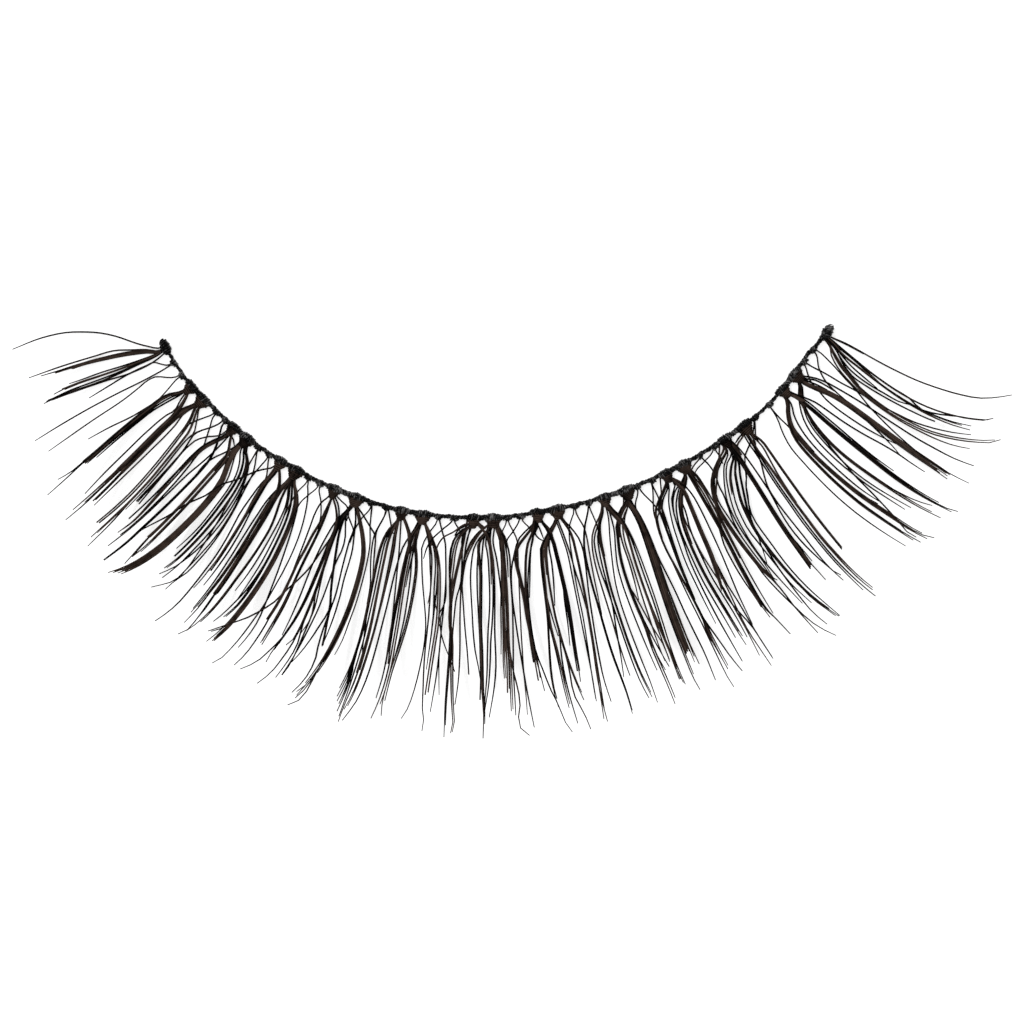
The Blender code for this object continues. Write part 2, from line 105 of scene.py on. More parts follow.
MAIN_TIES: tuple[Tie, ...] = (
    Tie(0, (
        "-4@.025 -12@.06 -20@.09 -30@.122 -40@.152 -50@.187 -60@.23 -70@.285 -80@.352 -90@.463 -96@.605",
        Lock("0@.03 -9@.09 -18@.165 -26@.25 -36@.38 -38@.42", 4.5, CUT, (
             Lock("-37@.39 -43.5@.495", 2.4, CUT),
             "-40@.43 -43.5@.48 -48.5@.555")),
        "-1@.03 -10@.075 -20@.14 -29@.2 -37@.31 -46@.45 -54@.605",
        "1@.04 -2@.11 -7@.2 -14@.31 -18.5@.4 -22@.46",
        Lock("2@.04 -1@.12 -5@.21 -11.5@.33 -16@.41 -19.5@.5", 2.4, CUT, ("-19@.47 -20@.545",)),
        "3@.04 0@.14 -3.5@.25 -9@.37 -14@.47 -17@.59",
        Lock("3@.05 1@.14 -1.5@.25 -6.5@.38 -12@.48 -16.3@.58", 2.4, FINE, ("-14@.52 -16@.605",)),
        Lock("7@.05 7.5@.09 4.5@.2 -3@.33 -10@.46 -15@.57", 0, FINE, ("4.5@.22 4.7@.3 5@.415",)))),
    Tie(60, (
        Lock("57@.05 51@.1 48.7@.15 48.7@.2 49@.3 50@.4 51.5@.5 52.5@.6", 4, CUT, (
             "51.5@.58 52@.68 50.5@.74",
             "52.5@.62 54@.7 55.5@.82",
             "49@.14 46.8@.22 45.5@.28 40@.42 37.5@.52")),
        "58@.05 54@.11 52@.17 51.7@.24 52@.34 53@.45 55@.59",
        "59@.06 56@.13 53.7@.2 53.6@.3 54.5@.42 56@.54",
        "62@.05 65.5@.09 69@.125 67.3@.17 67.3@.28 69.5@.42 72@.57 74.5@.685",
        Lock("62@.02 66@.05 70@.09 73@.14 74.5@.22 76.5@.34 78.5@.48", 4))),
    Tie(82.5, (
        Lock("80@.04 75.5@.1 74.7@.16 75@.22 76.5@.3 78.5@.4 80@.5", 7.3, CUT, (
             Lock("77.5@.45 78.3@.55 79@.65 79@.775", 2.8),
             Lock("82@.48 83.5@.56 84.5@.68", 2.2, CUT),
             "79.5@.5 80.3@.62 81@.72 80.5@.83")),
        "81@.05 79.5@.12 82@.16 83.5@.22 85@.35 86@.5 87.3@.69",
        Lock("83@.05 88@.09 91.5@.13 94.5@.2 98@.3 101@.42 102.5@.55 102@.65 100.7@.735", 3.2, CUT),
        Lock("86@.04 94@.1 98.5@.14 101@.2 103.7@.3 106.3@.42 107.3@.55 106.7@.67 105.7@.8", 2.4, FINE, (
             "107.3@.55 108.7@.68 108.5@.84",)),
        "86@.03 95@.08 104@.14 103.3@.18 104.5@.24 107@.34 108.7@.44 109.5@.55")),
    Tie(135, (
        Lock("129@.055 118@.105 112@.145 110@.2 111.3@.3 113@.42 114.8@.54", 0, CUT),
        Lock("132@.05 127@.09 122@.145 120.3@.2 120@.3 119.7@.42 119@.52 117.5@.62", 0, CUT),
        Lock("134@.05 129@.1 124@.16 122.5@.22 122.3@.35 122.3@.5 121.7@.61 118.3@.7", 2.4),
        "135@.05 130@.1 125.5@.15 124.3@.18 125.5@.25 126.5@.35 126.3@.45 125@.57 123.3@.65 121.7@.7",
        "137@.04 136.3@.12 134@.2 131@.28 128.5@.42 126.3@.56 123.5@.68 120.5@.775",
        Lock("139@.02 143@.05 149@.09 151.5@.13 151.5@.2", 3),
        "138@.02 145@.035 151@.055")),
    Tie(157.5, (
        Lock("154@.05 150.5@.12 149@.2 148@.3 147@.4 145@.5 143.3@.58 142@.625", 3.2, CUT, (
             "142.7@.6 142.2@.735",
             "142.3@.62 141@.785")),
        Lock("155.5@.08 153.3@.15 152.7@.22 151.3@.33 149.7@.44 147.5@.56 145@.68 142.7@.74", 2.4),
        "151@.06 147@.1 141@.15 138@.19 137.7@.28",
        Lock("156@.04 156@.1 159@.145 163.5@.2 165.2@.27 165@.36 162.7@.46 159.5@.56 155.5@.65 150@.74 "
             "144@.81 138@.865", 6),
        "158@.08 163@.13 168@.19 168.3@.28 167@.38 164@.5",
        "160@.05 168@.1 173.5@.16 175@.22 175@.33 173.5@.46 171@.53 168.5@.585",
        Lock("162@.035 170@.08 176@.14 177.8@.2 178@.3 177@.42 174.7@.53 171.5@.62", 2.2),
        Lock("163@.03 173@.07 180@.13 182.7@.2 183.3@.3 181.5@.42 178.5@.53 174.5@.63 170.7@.69", 2.2),
        "164@.03 175@.075 182@.125 186@.2 187.3@.3 186@.42 182.5@.54 178.5@.65 174@.73",
        "165@.03 178@.08 185.5@.15 189.5@.25 190@.37 187.5@.48 182@.59 177@.66 169.7@.725")),
    Tie(210, (
        "205@.03 197@.06 190@.088 183@.132 176@.175 166@.23 160@.31 151@.385 142.5@.5 133.5@.61 131@.655",
        "207@.06 203.5@.12 201.8@.2 201@.29 202.3@.36 203.3@.43 203.5@.5 202@.6 200.3@.69 198.3@.77 "
        "195@.84 190@.91",
        Lock("210@.03 208@.1 207.3@.2 207.7@.3 207.7@.4 207.3@.5 206@.585", 2.8, CUT, (
             "205.5@.56 204@.63 202@.69",)),
        "212@.04 209.5@.1 209.5@.17 210@.25 211.7@.35 212@.43 211@.53 209.7@.6 208.3@.655",
        Lock("212@.015 217@.045 222@.08 225@.13 226@.2 225.5@.3", 4.5),
        "206@.08 205@.13 205@.2 206@.27")),
    Tie(232.5, (
        "230@.05 223@.11 219.5@.17 218@.25 217@.35 216.5@.45 215.7@.55 214@.66 211@.77",
        Lock("230@.05 225@.1 222.3@.15 221.3@.21 220.7@.3 220.3@.4 219.5@.5 218@.6 215.5@.7 "
             "212.5@.79", 2.4, FINE, (
             "217@.65 214.5@.76 211@.845",)),
        Lock("230@.05 226.5@.1 224.5@.15 224.3@.2 224@.27", 6),
        Lock("231@.05 227.5@.1 226.5@.15 226.7@.22 226@.3 225@.4 224@.5 222.7@.6 221.3@.665", 4, CUT, (
             "220.7@.68 218.7@.79 216@.87 211.5@.905",
             "221.7@.65 220.5@.74 217.5@.83")),
        Lock("232@.07 232.7@.14 235.3@.2 237.3@.27 236.7@.35 234.7@.45 231.7@.55 229@.65 225.7@.74 "
             "221@.82 217@.87", 2.4),
        "233.5@.07 238@.11 241.5@.16 242.5@.22 242.3@.32 241@.43 238.7@.53 236@.605",
        "234.5@.06 240@.11 244@.17 246@.24 246.5@.33 246@.43 244.3@.53 241.7@.63",
        Lock("236@.05 241@.09 246@.14 249@.2 250.3@.28 250.5@.37 249.5@.48 247.3@.58 243.5@.67 "
             "238.5@.735", 2.2, FINE, (
             "248@.5 245.5@.57 241@.65 235@.74 232@.775",)),
        Lock("236@.035 243@.07 249@.11 253.3@.17 255.5@.24 256.2@.32 256@.41 254.5@.5 252@.59 248.7@.68 "
             "245@.76 241@.82 237@.87", 5, FINE, (
             "249@.67 243@.77 238.7@.8 234.5@.82",)),
        "237@.04 246@.075 253@.12 257.5@.19 260.3@.26 262.7@.34 264.7@.43 266@.52 267@.6 267.3@.68 "
        "265@.76 261.3@.83")),
    Tie(287.5, (
        Lock("288@.03 287@.1 286@.16 283.5@.22 281.7@.3 280@.36 279.3@.45 278@.55 276@.62 "
             "274.5@.66", 3, CUT, (
             "275.5@.66 272.5@.77 269@.85 264.5@.91",)),
        "284@.03 278@.075 276.5@.12 277.3@.2 278.3@.3 278.5@.4",
        Lock("288@.03 288.3@.1 288.3@.16 287.3@.24 285.7@.32 284.5@.4 283.7@.5 282@.61 279.5@.7 "
             "277.7@.77", 2.4, FINE, (
             "285@.46 284.7@.55 282@.67 279@.775",)),
        "288@.03 289.3@.1 289.3@.17 287.7@.27 286@.36 285@.44",
        Lock("290@.03 296.5@.065 302.5@.11 305@.17 305@.27", 2.4),
        "291@.02 298@.05 303@.085 306@.13 307@.2",
        "291@.01 300@.03 309@.045 314@.07 315@.11")),
    Tie(317.5, (
        "312@.06 308@.12 304@.2 299@.28 293.5@.37 286@.45 279.5@.51 275@.565 266.5@.63 255.5@.7 "
        "247.5@.74 241@.775 232@.825",
        Lock("315.5@.04 310.5@.08 306.7@.13 304.7@.2 303.7@.3 302.7@.4 301.5@.5 299@.6 295.5@.68 292@.75 "
             "289.5@.8 288.5@.84", 2.6, FINE, (
             "298.5@.61 295.5@.66 293@.74",
             "293.5@.71 286@.8 280@.86 275@.89 270.5@.915")),
        Lock("316@.04 311.5@.08 308@.14 307.3@.2 307.3@.27 307.7@.35 307.9@.45 307.3@.55 305.5@.65 "
             "303@.71 299.7@.735", 2.4, FINE, (
             "309@.38 311@.46 312.5@.53 311.5@.6 307.5@.67",
             "304.5@.7 300@.8 295@.88 288@.945",
             "312@.56 311@.65 309.5@.75 308.3@.81 305@.87",
             "307@.62 308.3@.72 305.5@.8 300.5@.89")),
        "312@.05 307@.09 302@.14 299@.2 296.7@.27 295.3@.35 295@.5 294@.62 292.5@.7",
        "313@.1 316@.14 319.7@.19 320.3@.24 318.3@.3 317.5@.38 317@.47 315.7@.55 313@.65 309.5@.76 "
        "304.5@.87",
        Lock("313@.07 310.7@.12 311.3@.17 314@.24 317@.31 320@.38 323.5@.45 326.5@.5 328@.57 329.5@.63 "
             "330.5@.685", 2.2, CUT, (
             "326.5@.52 322.5@.6 318@.68 314@.74 309@.8",)),
        "319@.03 324@.08 326.5@.13 325.3@.18 325.7@.25 327@.35 328.3@.43 327.7@.52 326.7@.61 327@.7 "
        "328@.75 327@.8 324@.86 317.5@.93",
        "320@.03 325.5@.1 328.5@.16 331.5@.23 332@.3 332@.37 333@.45 333@.53 332@.61 330.3@.69",
        "314@.08 319@.105 325@.135 327@.15",
        Lock("321.5@.03 328.5@.08 335.5@.13 341@.18 344.7@.23 346.3@.3 346.3@.4 345@.5 342@.6 338@.7 "
             "333@.79 327.5@.87", 4.6, FINE, (
             "326.5@.88 322@.935",
             "328@.86 325.5@.89 321@.92",
             "331@.85 326.5@.94 323.5@.965 317.5@.99",
             "330@.85 325@.92 321.5@.95")),
        "321@.025 330@.055 343@.1 352@.135 356@.2 359@.28")),
    Tie(377.5, (
        Lock("374@.05 367.5@.09 364@.13 362@.18 361.7@.25 362.3@.35 363@.45 363.3@.55 362.7@.63 "
             "361.3@.7", 2.8, FINE, (
             "361@.7 358.5@.78 355.3@.85",
             "361.5@.7 359.5@.79 355@.89",
             "361.7@.72 360@.82 356@.91",
             "362.5@.72 361@.83 358@.92",
             "362.7@.75 361@.87 358@.955",
             "363.5@.48 365.5@.57 367.7@.67")),
        "374.5@.06 369@.1 366@.15 365.7@.25 366.3@.38 366.5@.5 366.5@.6 365.5@.7 363.5@.83 360.5@.975",
        Lock("375@.05 371@.1 369.3@.15 369.3@.22 369.5@.32 370@.45 370.2@.56 369.3@.66 "
             "367.7@.765", 3, CUT, (
             "368.5@.72 366@.82 362.5@.93 361@1.0",
             "368.7@.7 367@.8 363.5@.9")),
        Lock("376@.05 374.5@.1 375@.16 375.3@.25 375.3@.35 375@.45 374.3@.55 373@.65 371.5@.74 369.7@.82 "
             "367@.89 364.5@.94", 2.4),
        "376.5@.06 376.5@.11 377.7@.17 377.7@.25 377@.35 376@.45 375@.55",
        "379@.04 380.5@.08 383.5@.17 385.3@.25 387@.33 388.7@.42 390@.5 391@.6 391.5@.7",
        Lock("380@.015 386@.055 391.5@.095 394.5@.14 395@.2", 4))),
    Tie(405, (
        "400@.04 394@.1 388.5@.145 385.7@.2 383.7@.28 382.5@.4 381.3@.5 380@.6 378.5@.7 376@.8 372@.89 "
        "364@.99",
        Lock("402@.05 396@.1 394@.15 392@.25 391.5@.4 391.2@.5 391.5@.6 392.3@.7", 3.2, CUT, (
             "391@.66 390.5@.75 388@.86",)),
        Lock("403@.05 399@.1 397@.15 395.3@.25 395.3@.4 395.7@.5 395.7@.6 395.5@.7 394@.8 391.5@.88 "
             "388@.955", 3.5),
        "403@.08 400.5@.17 398.7@.25 398@.34",
        Lock("403@.05 400@.1 400@.15 400@.2 401.7@.3 402@.4 401.5@.5 400@.58 398@.66", 2),
        Lock("404@.04 401@.1 401@.14 403.5@.18 406@.24 406.7@.33 406@.42 404.7@.5 402.3@.58 399.5@.66 "
             "397@.74 396@.8 395@.87 396@.935", 3.2),
        Lock("408@.03 415@.07 422@.12 427.5@.165 431@.22 433.5@.3 435@.4 435.3@.5 433.8@.6 432.5@.7 "
             "431.3@.815", 3.5, CUT),
        Lock("408@.03 413@.06 418@.1 421@.14", 4),
        "409@.04 415@.1 419.5@.17 421.5@.23 424@.29 425.5@.4 426@.5 426@.62 426.5@.69 428@.8 429@.88 "
        "431@.93 430.5@.98",
        "411@.05 417@.11 422@.18 424@.26 424.7@.35 423.7@.4",
        Lock("410@.04 417@.09 423@.14 427@.21 428.5@.3 429@.35 431@.39 434.5@.44", 0, FINE, (
             "428.7@.33 430.5@.45 430.3@.55 429.7@.62 429@.7",)),
        "409@.04 414@.075 420@.105 426@.15 430@.22 431.3@.3 431@.42 430.5@.55")),
    Tie(470, (
        Lock("467@.03 457@.06 451@.1 448@.15 446.8@.22 446@.28 447.5@.38 449@.5", 3.2),
        Lock("466@.03 455@.055 449@.08 445@.12 443.3@.18 443.8@.23 446@.32 448@.42 449.3@.55 449.3@.7 "
             "449@.85 449.8@1.0", 2.2),
        Lock("449@.5 451@.55 452@.63 453@.72 454@.8 455.5@.88 456.5@.92 455@.98", 2.5),
        Lock("464@.04 457@.08 457.3@.15 457.7@.25 457.7@.35 458@.45 459@.55 459.5@.65 459@.75 "
             "457@.85", 0, FINE, (
             "457@.3 453.5@.36 452@.45 451.5@.55 451.5@.62 455@.7",)),
        "467@.04 463.5@.08 461.5@.12 460.3@.18 458.7@.26",
        Lock("465@.06 461.5@.14 459.7@.22 459.3@.3 461@.38 463.5@.5 466@.6 468@.71", 2, CUT),
        "468@.02 460@.025 445@.065 433@.095 428@.13 426@.2",
        "466@.02 459@.035 452@.05 447@.08",
        Lock("472@.01 478@.035 484@.06 489@.1 491.5@.16 492@.3", 3.5),
        Lock("474@.01 480@.03 485@.045", 4))),
    Tie(495, (
        Lock("490@.02 482@.045 474@.08 466@.135 461@.19 459@.25 458.5@.33", 3.5),
        "488@.03 478@.055 468@.1 460.5@.165",
        "489@.04 477@.09 471.5@.13 468.5@.2 467.7@.26 469@.35 470.5@.43 472@.52 474@.6 477.5@.68 480@.76",
        Lock("489@.05 478@.1 477@.17 479@.22 479.5@.35 479.5@.5 480.5@.6 481@.7 481.5@.8 482.5@.88 "
             "482@1.0", 2.7),
        Lock("489@.05 479@.1 476.3@.15 475.3@.2 475.3@.3 476.5@.4 478@.5 479@.62 479.5@.72 "
             "479@.825", 0, CUT),
        "488@.04 483@.09 481@.15 480@.22 480@.35 480@.48",
        "490@.04 485@.1 487.5@.17 488.5@.25 489@.35 488.5@.42 487@.5 486@.6 485.5@.7 483.5@.82 482.5@.9",
        "491@.05 489.5@.1 492@.18 493@.28 492.5@.38 491@.48 489.5@.55 488.5@.65 487@.75 483@.88",
        "492@.04 490.5@.1 493.5@.18 494.5@.28 494.2@.4 493.5@.5 493.5@.7 491.5@.78 489@.85 487@.905",
        "493@.04 488.5@.08 490@.13 493@.2 493.3@.3",
        "496@.04 494@.1 497.5@.18 499.5@.25 501@.32 501@.4",
        "497@.03 502@.1 503@.2 502@.3 500.5@.4 500@.5 499@.62",
        Lock("498@.03 502.5@.09 504@.2 503.5@.35 503@.45 502.5@.55 501.5@.65 502@.73", 2.7),
        Lock("500@.04 504@.1 505.5@.2 505@.35 505@.55 505@.7 504.5@.795", 3, CUT),
        Lock("501@.04 505@.1 506.5@.2 507.3@.33 507@.45 506.5@.55 507@.65 507@.88", 2.7, FINE, (
             "508@.62 510@.7 512.7@.77 514.3@.85 512.5@.9 511.7@.94 515@.97 520.5@.995",)),
        "502@.04 507@.07 511@.12 513@.18 512.5@.27 512.8@.4 512@.5 511@.6 510@.7 510@.8 510@.9",
        "503@.05 507@.09 509.5@.15 510@.27")),
    Tie(552.5, (
        "547@.03 540@.05 525@.1 519@.16 514@.24 513@.33 515@.47 517@.58 519@.68 521@.78 523@.87 525@.96",
        Lock("545@.04 533.5@.09 524@.13 519.5@.17 520.5@.21 524@.3 526.5@.38 527.5@.45 530@.55 532@.65 "
             "533.5@.75", 3.5, CUT, (
             "534@.7 537@.8",)),
        Lock("546@.04 542@.08 536@.12 532@.18 530@.24 528.8@.3 528@.36 528@.42 528.5@.5 529.5@.6 "
             "530.5@.665", 2.7, CUT),
        Lock("547@.05 542@.1 537@.17 533.5@.24 531@.32 530.2@.4 530.7@.5 533@.62 537.5@.7 543@.8 "
             "548.5@.88 551@.94 556.5@1.0", 2),
        "549@.06 545@.08 540@.13 536.5@.2 534@.28 531.5@.37",
        "549@.02 552@.06 555@.11",
        "548@.06 546@.08 551@.11 556@.12",
        Lock("556@.03 560@.06 565@.11 567.7@.2 569.5@.3 570.7@.4 570.7@.5 570.2@.6 570@.73", 3.7, CUT, (
             "568@.4 567.5@.5 566@.61",
             "570.5@.7 570.3@.78")),
        Lock("554@.02 559@.045 564@.075 566@.12", 3.5))),
    Tie(577.5, (
        Lock("573.5@.03 565@.07 557@.11 551@.145 549@.2 548.3@.28 548.3@.38 548@.47 546.5@.57 545.3@.66 "
             "544.8@.73 545.5@.8 548@.88", 2.2, FINE, (
             "548.5@.3 550@.38 552@.45 554.5@.52 556@.56",)),
        Lock("574@.03 566@.07 559@.11 553.5@.14 551@.2 550@.3 549.3@.4 549.7@.5 552@.6 553.8@.7 555.3@.8 "
             "557.3@.89", 2.7, FINE, (
             "553@.6 555@.7 556.3@.8 557.3@.85",)),
        Lock("574@.03 566@.08 558@.12 553.5@.16 552.5@.22 551.5@.29", 3.5),
        Lock("574@.04 567@.08 560@.12 556.5@.16 555@.22 554.3@.28 554.5@.35 555.3@.43 556@.48 558@.55 "
             "560@.62 563@.7 566.5@.78 571@.865", 2.5, FINE, (
             "557.5@.54 556.5@.65 557@.75 558.5@.83 562@.965",
             "561@.66 562@.75 562.5@.83 567@.9 570@.95 572@1.0")),
        "573@.05 565@.09 560.5@.14 560.5@.22 559.3@.32 557@.42",
        "574@.02 577@.1 580@.18 580.7@.3 581@.4 581.3@.55 581.5@.78 581@.88",
        "576@.02 579.5@.1 583@.19 585@.28 587.5@.37 588.7@.46",
        Lock("580@.03 585.5@.07 588.7@.11 590@.2 590.3@.3 590@.4 589.3@.5 588.5@.6 587.5@.7 586.8@.8 "
             "586@.9 585.5@.965", 2.7, FINE, (
             "587.5@.65 586@.78 586@.88 587@.98",)),
        "582@.03 590@.08 597@.14 598.7@.19 598@.25 595.5@.35 593.7@.45 592.3@.56 591.5@.66 591.3@.78 "
        "593.5@.895")),
    Tie(640, (
        Lock("634@.035 624@.095 621.3@.15 619.7@.25 618.5@.35 618.5@.42 619.5@.5 620.7@.6 622.5@.7 "
             "625@.8 629.5@.92", 2.2),
        Lock("633@.045 625@.1 621.5@.16 620@.26", 3.5),
        "633@.03 626@.07 619@.1 613@.14 609.5@.2 608.5@.28 609.3@.36 610.5@.45 611.5@.53 612.3@.62 "
        "614@.75 615@.8",
        "634@.04 627@.08 619@.12 614@.16 612.3@.22 612.5@.3 614.5@.38 616@.46 617.3@.55 618.8@.65 "
        "620.5@.75 623@.85 626@.92",
        "634@.04 625@.1 619@.15 617@.2 615.7@.3 615.8@.38 615.9@.46 614@.55 612.7@.62 611@.72 609.3@.8",
        "638@.07 632.5@.17 628@.27 625@.36 624.3@.44 625@.53 627@.65 629@.75 631@.85 632@.95",
        "641@.07 640@.14 635.5@.22 632@.3 631.5@.38 632.7@.48 635@.6 637.3@.71 639.7@.81",
        Lock("641@.02 645@.06 650@.1 653@.15 653@.2 652@.29 652@.4 652.5@.5 654@.6 655.5@.7 657@.8 "
             "659@.9", 2.5, FINE, (
             "652@.5 652.3@.65 653.3@.78",
             "656@.72 657@.82 657@.88")),
        Lock("640@.03 643@.06 647@.09 651@.125", 5),
        "643@.03 650@.08 654.5@.14 656@.22 656.3@.3 656.5@.4 656.8@.5 656.3@.6 655.7@.7 656@.88",
        "644@.03 651@.08 656.5@.17 658.7@.28 659.3@.4 659.3@.5 658.7@.6 658@.7 658@.8 659.5@.91")),
    Tie(670, (
        Lock("666@.03 655@.06 649@.095 644@.13 641.5@.18 638.5@.24 637@.32 637.3@.4 639@.5 641.5@.6 "
             "642@.7 644@.8 646@.9 647@.98", 3, FINE, (
             "640.5@.45 645@.55 648.5@.63 652@.7 653@.79",
             "640@.52 643.5@.62 646.5@.7 648.5@.75 651@.81",
             "642@.68 644.5@.76 647@.82")),
        Lock("665@.04 655@.08 647@.12 643.5@.16 641.5@.2", 3.5),
        "662@.03 653@.09 647@.14 645@.2 645.3@.3 644.5@.4 643@.48",
        "666@.05 655@.1 650@.15 648@.2 648@.3 647.7@.4 647.5@.5 647.7@.6 648@.7 649@.78",
        "664@.06 657@.1 654@.13",
        Lock("665@.03 668.5@.09 670.3@.15 670.3@.2 669.5@.3 668.5@.4 667.7@.5 667.3@.6 667.5@.7 668@.8 "
             "668.8@.9 670.5@.955", 2.7),
        Lock("668@.03 672@.1 673@.16 673.5@.22 672.7@.3 671.7@.4 671@.5 670.5@.6 670.7@.7 "
             "671.7@.78", 4.5, CUT),
        Lock("669@.04 674@.12 676@.2 675.5@.3 674.7@.4 674@.5 673.7@.6 674@.7 674.5@.83", 2.7, FINE, (
             "675@.45 675.3@.55 675.3@.7 677@.845",)),
        "671@.04 675@.12 677@.22 677.3@.32 679@.4 681@.5 682@.6 683.5@.7 685@.8 685@.94")),
    Tie(725, (
        Lock("720@.025 710@.06 700@.095 694@.125 690.5@.17 688.8@.22 688.3@.28 689.3@.34 691@.4 693@.48 "
             "694.8@.56 696@.65 697@.75 698.3@.85 699.3@.915", 2.7, FINE, (
             "690@.42 691.3@.55 692.8@.65 693.7@.75 694.5@.85 695.5@.95 697@1.0",
             "696@.62 694.5@.72 696.5@.82 698.5@.915",
             "698@.7 701.5@.78 704.5@.86 709@.95")),
        Lock("719@.035 708@.075 700@.11 698@.18 697@.25 696@.32 695.3@.4 695.5@.5 695.8@.6", 2.2),
        "720@.045 708@.09 701@.14 700.3@.22 698.5@.3 697@.38 696.5@.48",
        "698@.135 694@.15 691@.19 689.5@.25",
        "722@.04 713@.11 707@.2 704@.3 702.5@.4 703@.5 703.8@.6 705@.705",
        "728@.06 720@.09 714@.15 711@.22 709@.31 707.3@.38 707@.48 707.8@.6 709@.7 710.7@.8 712.5@.91",
        Lock("729@.02 732.5@.06 735.5@.1 735@.14 733.8@.2 731.8@.3 730.3@.4 727.5@.5 "
             "725@.58", 4.5, FINE, (
             "731@.48 731@.57 732.7@.65 733.8@.75 735@.85 737@.96",
             "734@.8 735.5@.87 737@.95",
             "729.5@.52 729.3@.6 728.7@.72 729@.8 730.7@.88 733@.985")),
        Lock("729@.015 735@.045 739@.075", 3.5),
        "730@.02 740@.085 742.5@.14 742.7@.2 741.5@.32 740@.43 738@.53 736@.64 735@.78")),
    Tie(750, (
        Lock("746.5@.03 741@.045 728@.09 720.5@.13 714@.2 711.3@.26 710.7@.32 710.3@.4 710.7@.5 712.5@.6 "
             "714.5@.7 716@.8", 2),
        Lock("746@.035 737@.07 727.5@.11 721.5@.16 717.5@.22 715.3@.3 714.7@.38 715@.47 716.5@.57 "
             "718.7@.67 720.5@.77 722.5@.85", 3, FINE, (
             "715@.45 717.5@.57 719.5@.68 721@.78",)),
        Lock("746@.04 737@.08 728@.12 721@.17 718.7@.22 717@.28 716@.34", 3),
        "746@.05 735@.09 727@.14 721.5@.2 721.3@.28 721.5@.38 723.5@.47 726@.56 727@.68 728@.8 728@.92",
        "746@.05 737@.09 728@.13 726@.19 722.5@.25 720.8@.32 720.3@.42 720.5@.5 722.5@.6 724.5@.7 "
        "725.5@.82",
        "745@.04 735@.06 727@.075 719@.11 713@.17",
        Lock("750.5@.05 751@.1 751.5@.2 752@.3 752@.4 751@.5 750.7@.6 750.8@.7 753@.79", 3.5, FINE, (
             "750@.34 747@.4 746.3@.48 747@.58 749@.68 749.3@.73",
             "752.7@.75 756@.81 760@.9",
             "752@.68 751.5@.74 754.5@.79")),
        Lock("752@.02 754@.07 755.7@.13 755.7@.2 755@.3 754@.4 753@.5", 3.7),
        "754@.03 757@.06 758@.12 757.7@.2 758@.3 756.7@.4 755.7@.5 755.3@.6 755.5@.7 756@.78",
        "755@.02 758.5@.06 759.7@.12 760@.22")),
    Tie(812.5, (
        Lock("805@.025 795@.045 779@.085 770@.125 764@.18 761.3@.23 761.3@.3 762.3@.38 765@.49 768@.58 "
             "773@.66", 3.5, CUT, (
             Lock("771@.64 773.5@.7 775.5@.8 778@.88 780.7@.96", 2),
             "766.5@.6 770@.69 775.5@.8 779@.87 783@.93 792@1.015",
             "770@.62 773@.64 775@.66")),
        "761@.22 758@.245 756@.27 754@.33",
        "806@.035 790@.065 774@.12 765.7@.2 765.8@.3 767@.4 769@.5 771.5@.6 773@.68",
        "806@.04 792@.07 778@.115 775@.15 774@.2 770.5@.27 767.7@.34 767.3@.4 768.5@.5",
        Lock("806@.05 793@.09 785@.135 778@.19 774@.23 771.5@.29 770.5@.36 770.8@.42 772@.5 773@.58 "
             "773@.64", 2),
        "810@.06 797@.09 789@.13 782@.19 777@.25 773.7@.31 772.5@.38 772.5@.48 774@.56 777@.65 780@.73 "
        "783@.81",
        "808@.08 796@.125 787@.195 781@.26 778@.33 777@.4 778.7@.47 780@.53 781.7@.6 783@.7 784@.76 "
        "786.5@.87 791@.95",
        Lock("810@.09 800@.14 793@.2 787.5@.26 784.5@.33 783@.4 783@.47 784.5@.55 787@.65 790@.74 "
             "794@.82 798@.88 803@.95", 2.2, FINE, (
             "783@.45 782.3@.55 782.5@.65 784.5@.72 788@.79 790@.83",
             "793@.82 797@.88 801@.94")),
        Lock("810@.115 803@.165 797@.22 791@.28 786.5@.33 784@.38 783.3@.46", 2.2),
        Lock("811@.14 810@.175 803@.21 796@.27 791@.31 788.5@.35 788@.42 789@.5 790@.6 792.5@.7 796@.79 "
             "800@.87 804@.95", 0, FINE, (
             "792@.3 785@.37 783@.43 780@.48 778@.52 775@.57",)),
        Lock("814@.05 814@.1 812.5@.17 811.3@.25 810@.33 808.8@.42 808.2@.5 808.2@.6 "
             "808.3@.7", 4.5, CUT, (
             "809@.65 811@.73 812@.78",
             "810@.55 811@.6 812@.675")),
        Lock("816@.03 817@.06 817.5@.1", 4),
        Lock("819@.03 820.5@.07 820.7@.14 820@.22 819@.3 817@.36 815@.42 814@.5 815@.58 817.5@.66 "
             "820@.72 823@.78 825.5@.805", 0, FINE, (
             "818.5@.35 818.7@.45 819.5@.55 820@.65 820.8@.72 822.5@.78 824.3@.83",)))),
    Tie(842.5, (
        Lock("835@.025 822@.045 812@.075 800@.11 790@.16 783@.22", 2.7),
        Lock("837@.015 828@.025 820@.035", 3),
        "837@.07 828@.09 820@.11 815@.14",
        Lock("836@.02 833.5@.07 832.7@.12 831@.2 829@.3 828@.4 827@.5 827.3@.6 828@.7 829.7@.8 "
             "832.7@.92", 2),
        "838@.03 835@.14 833@.22 831@.32 830@.42 829.3@.5 829.3@.62 830@.72 832@.82 834.5@.9 837.5@.975",
        Lock("839@.05 836.7@.12 836@.2 834.5@.3 833.2@.4 832.7@.5 832.3@.62 833.3@.7 835@.8 838@.9 "
             "840@.945", 2.5),
        "838@.06 834@.13 831@.175 826@.22 820@.29 818.7@.36 818.7@.44",
        "843@.06 844@.12 841@.19 838@.26 836@.33 834.7@.42",
        "842@.05 840@.09 836@.11",
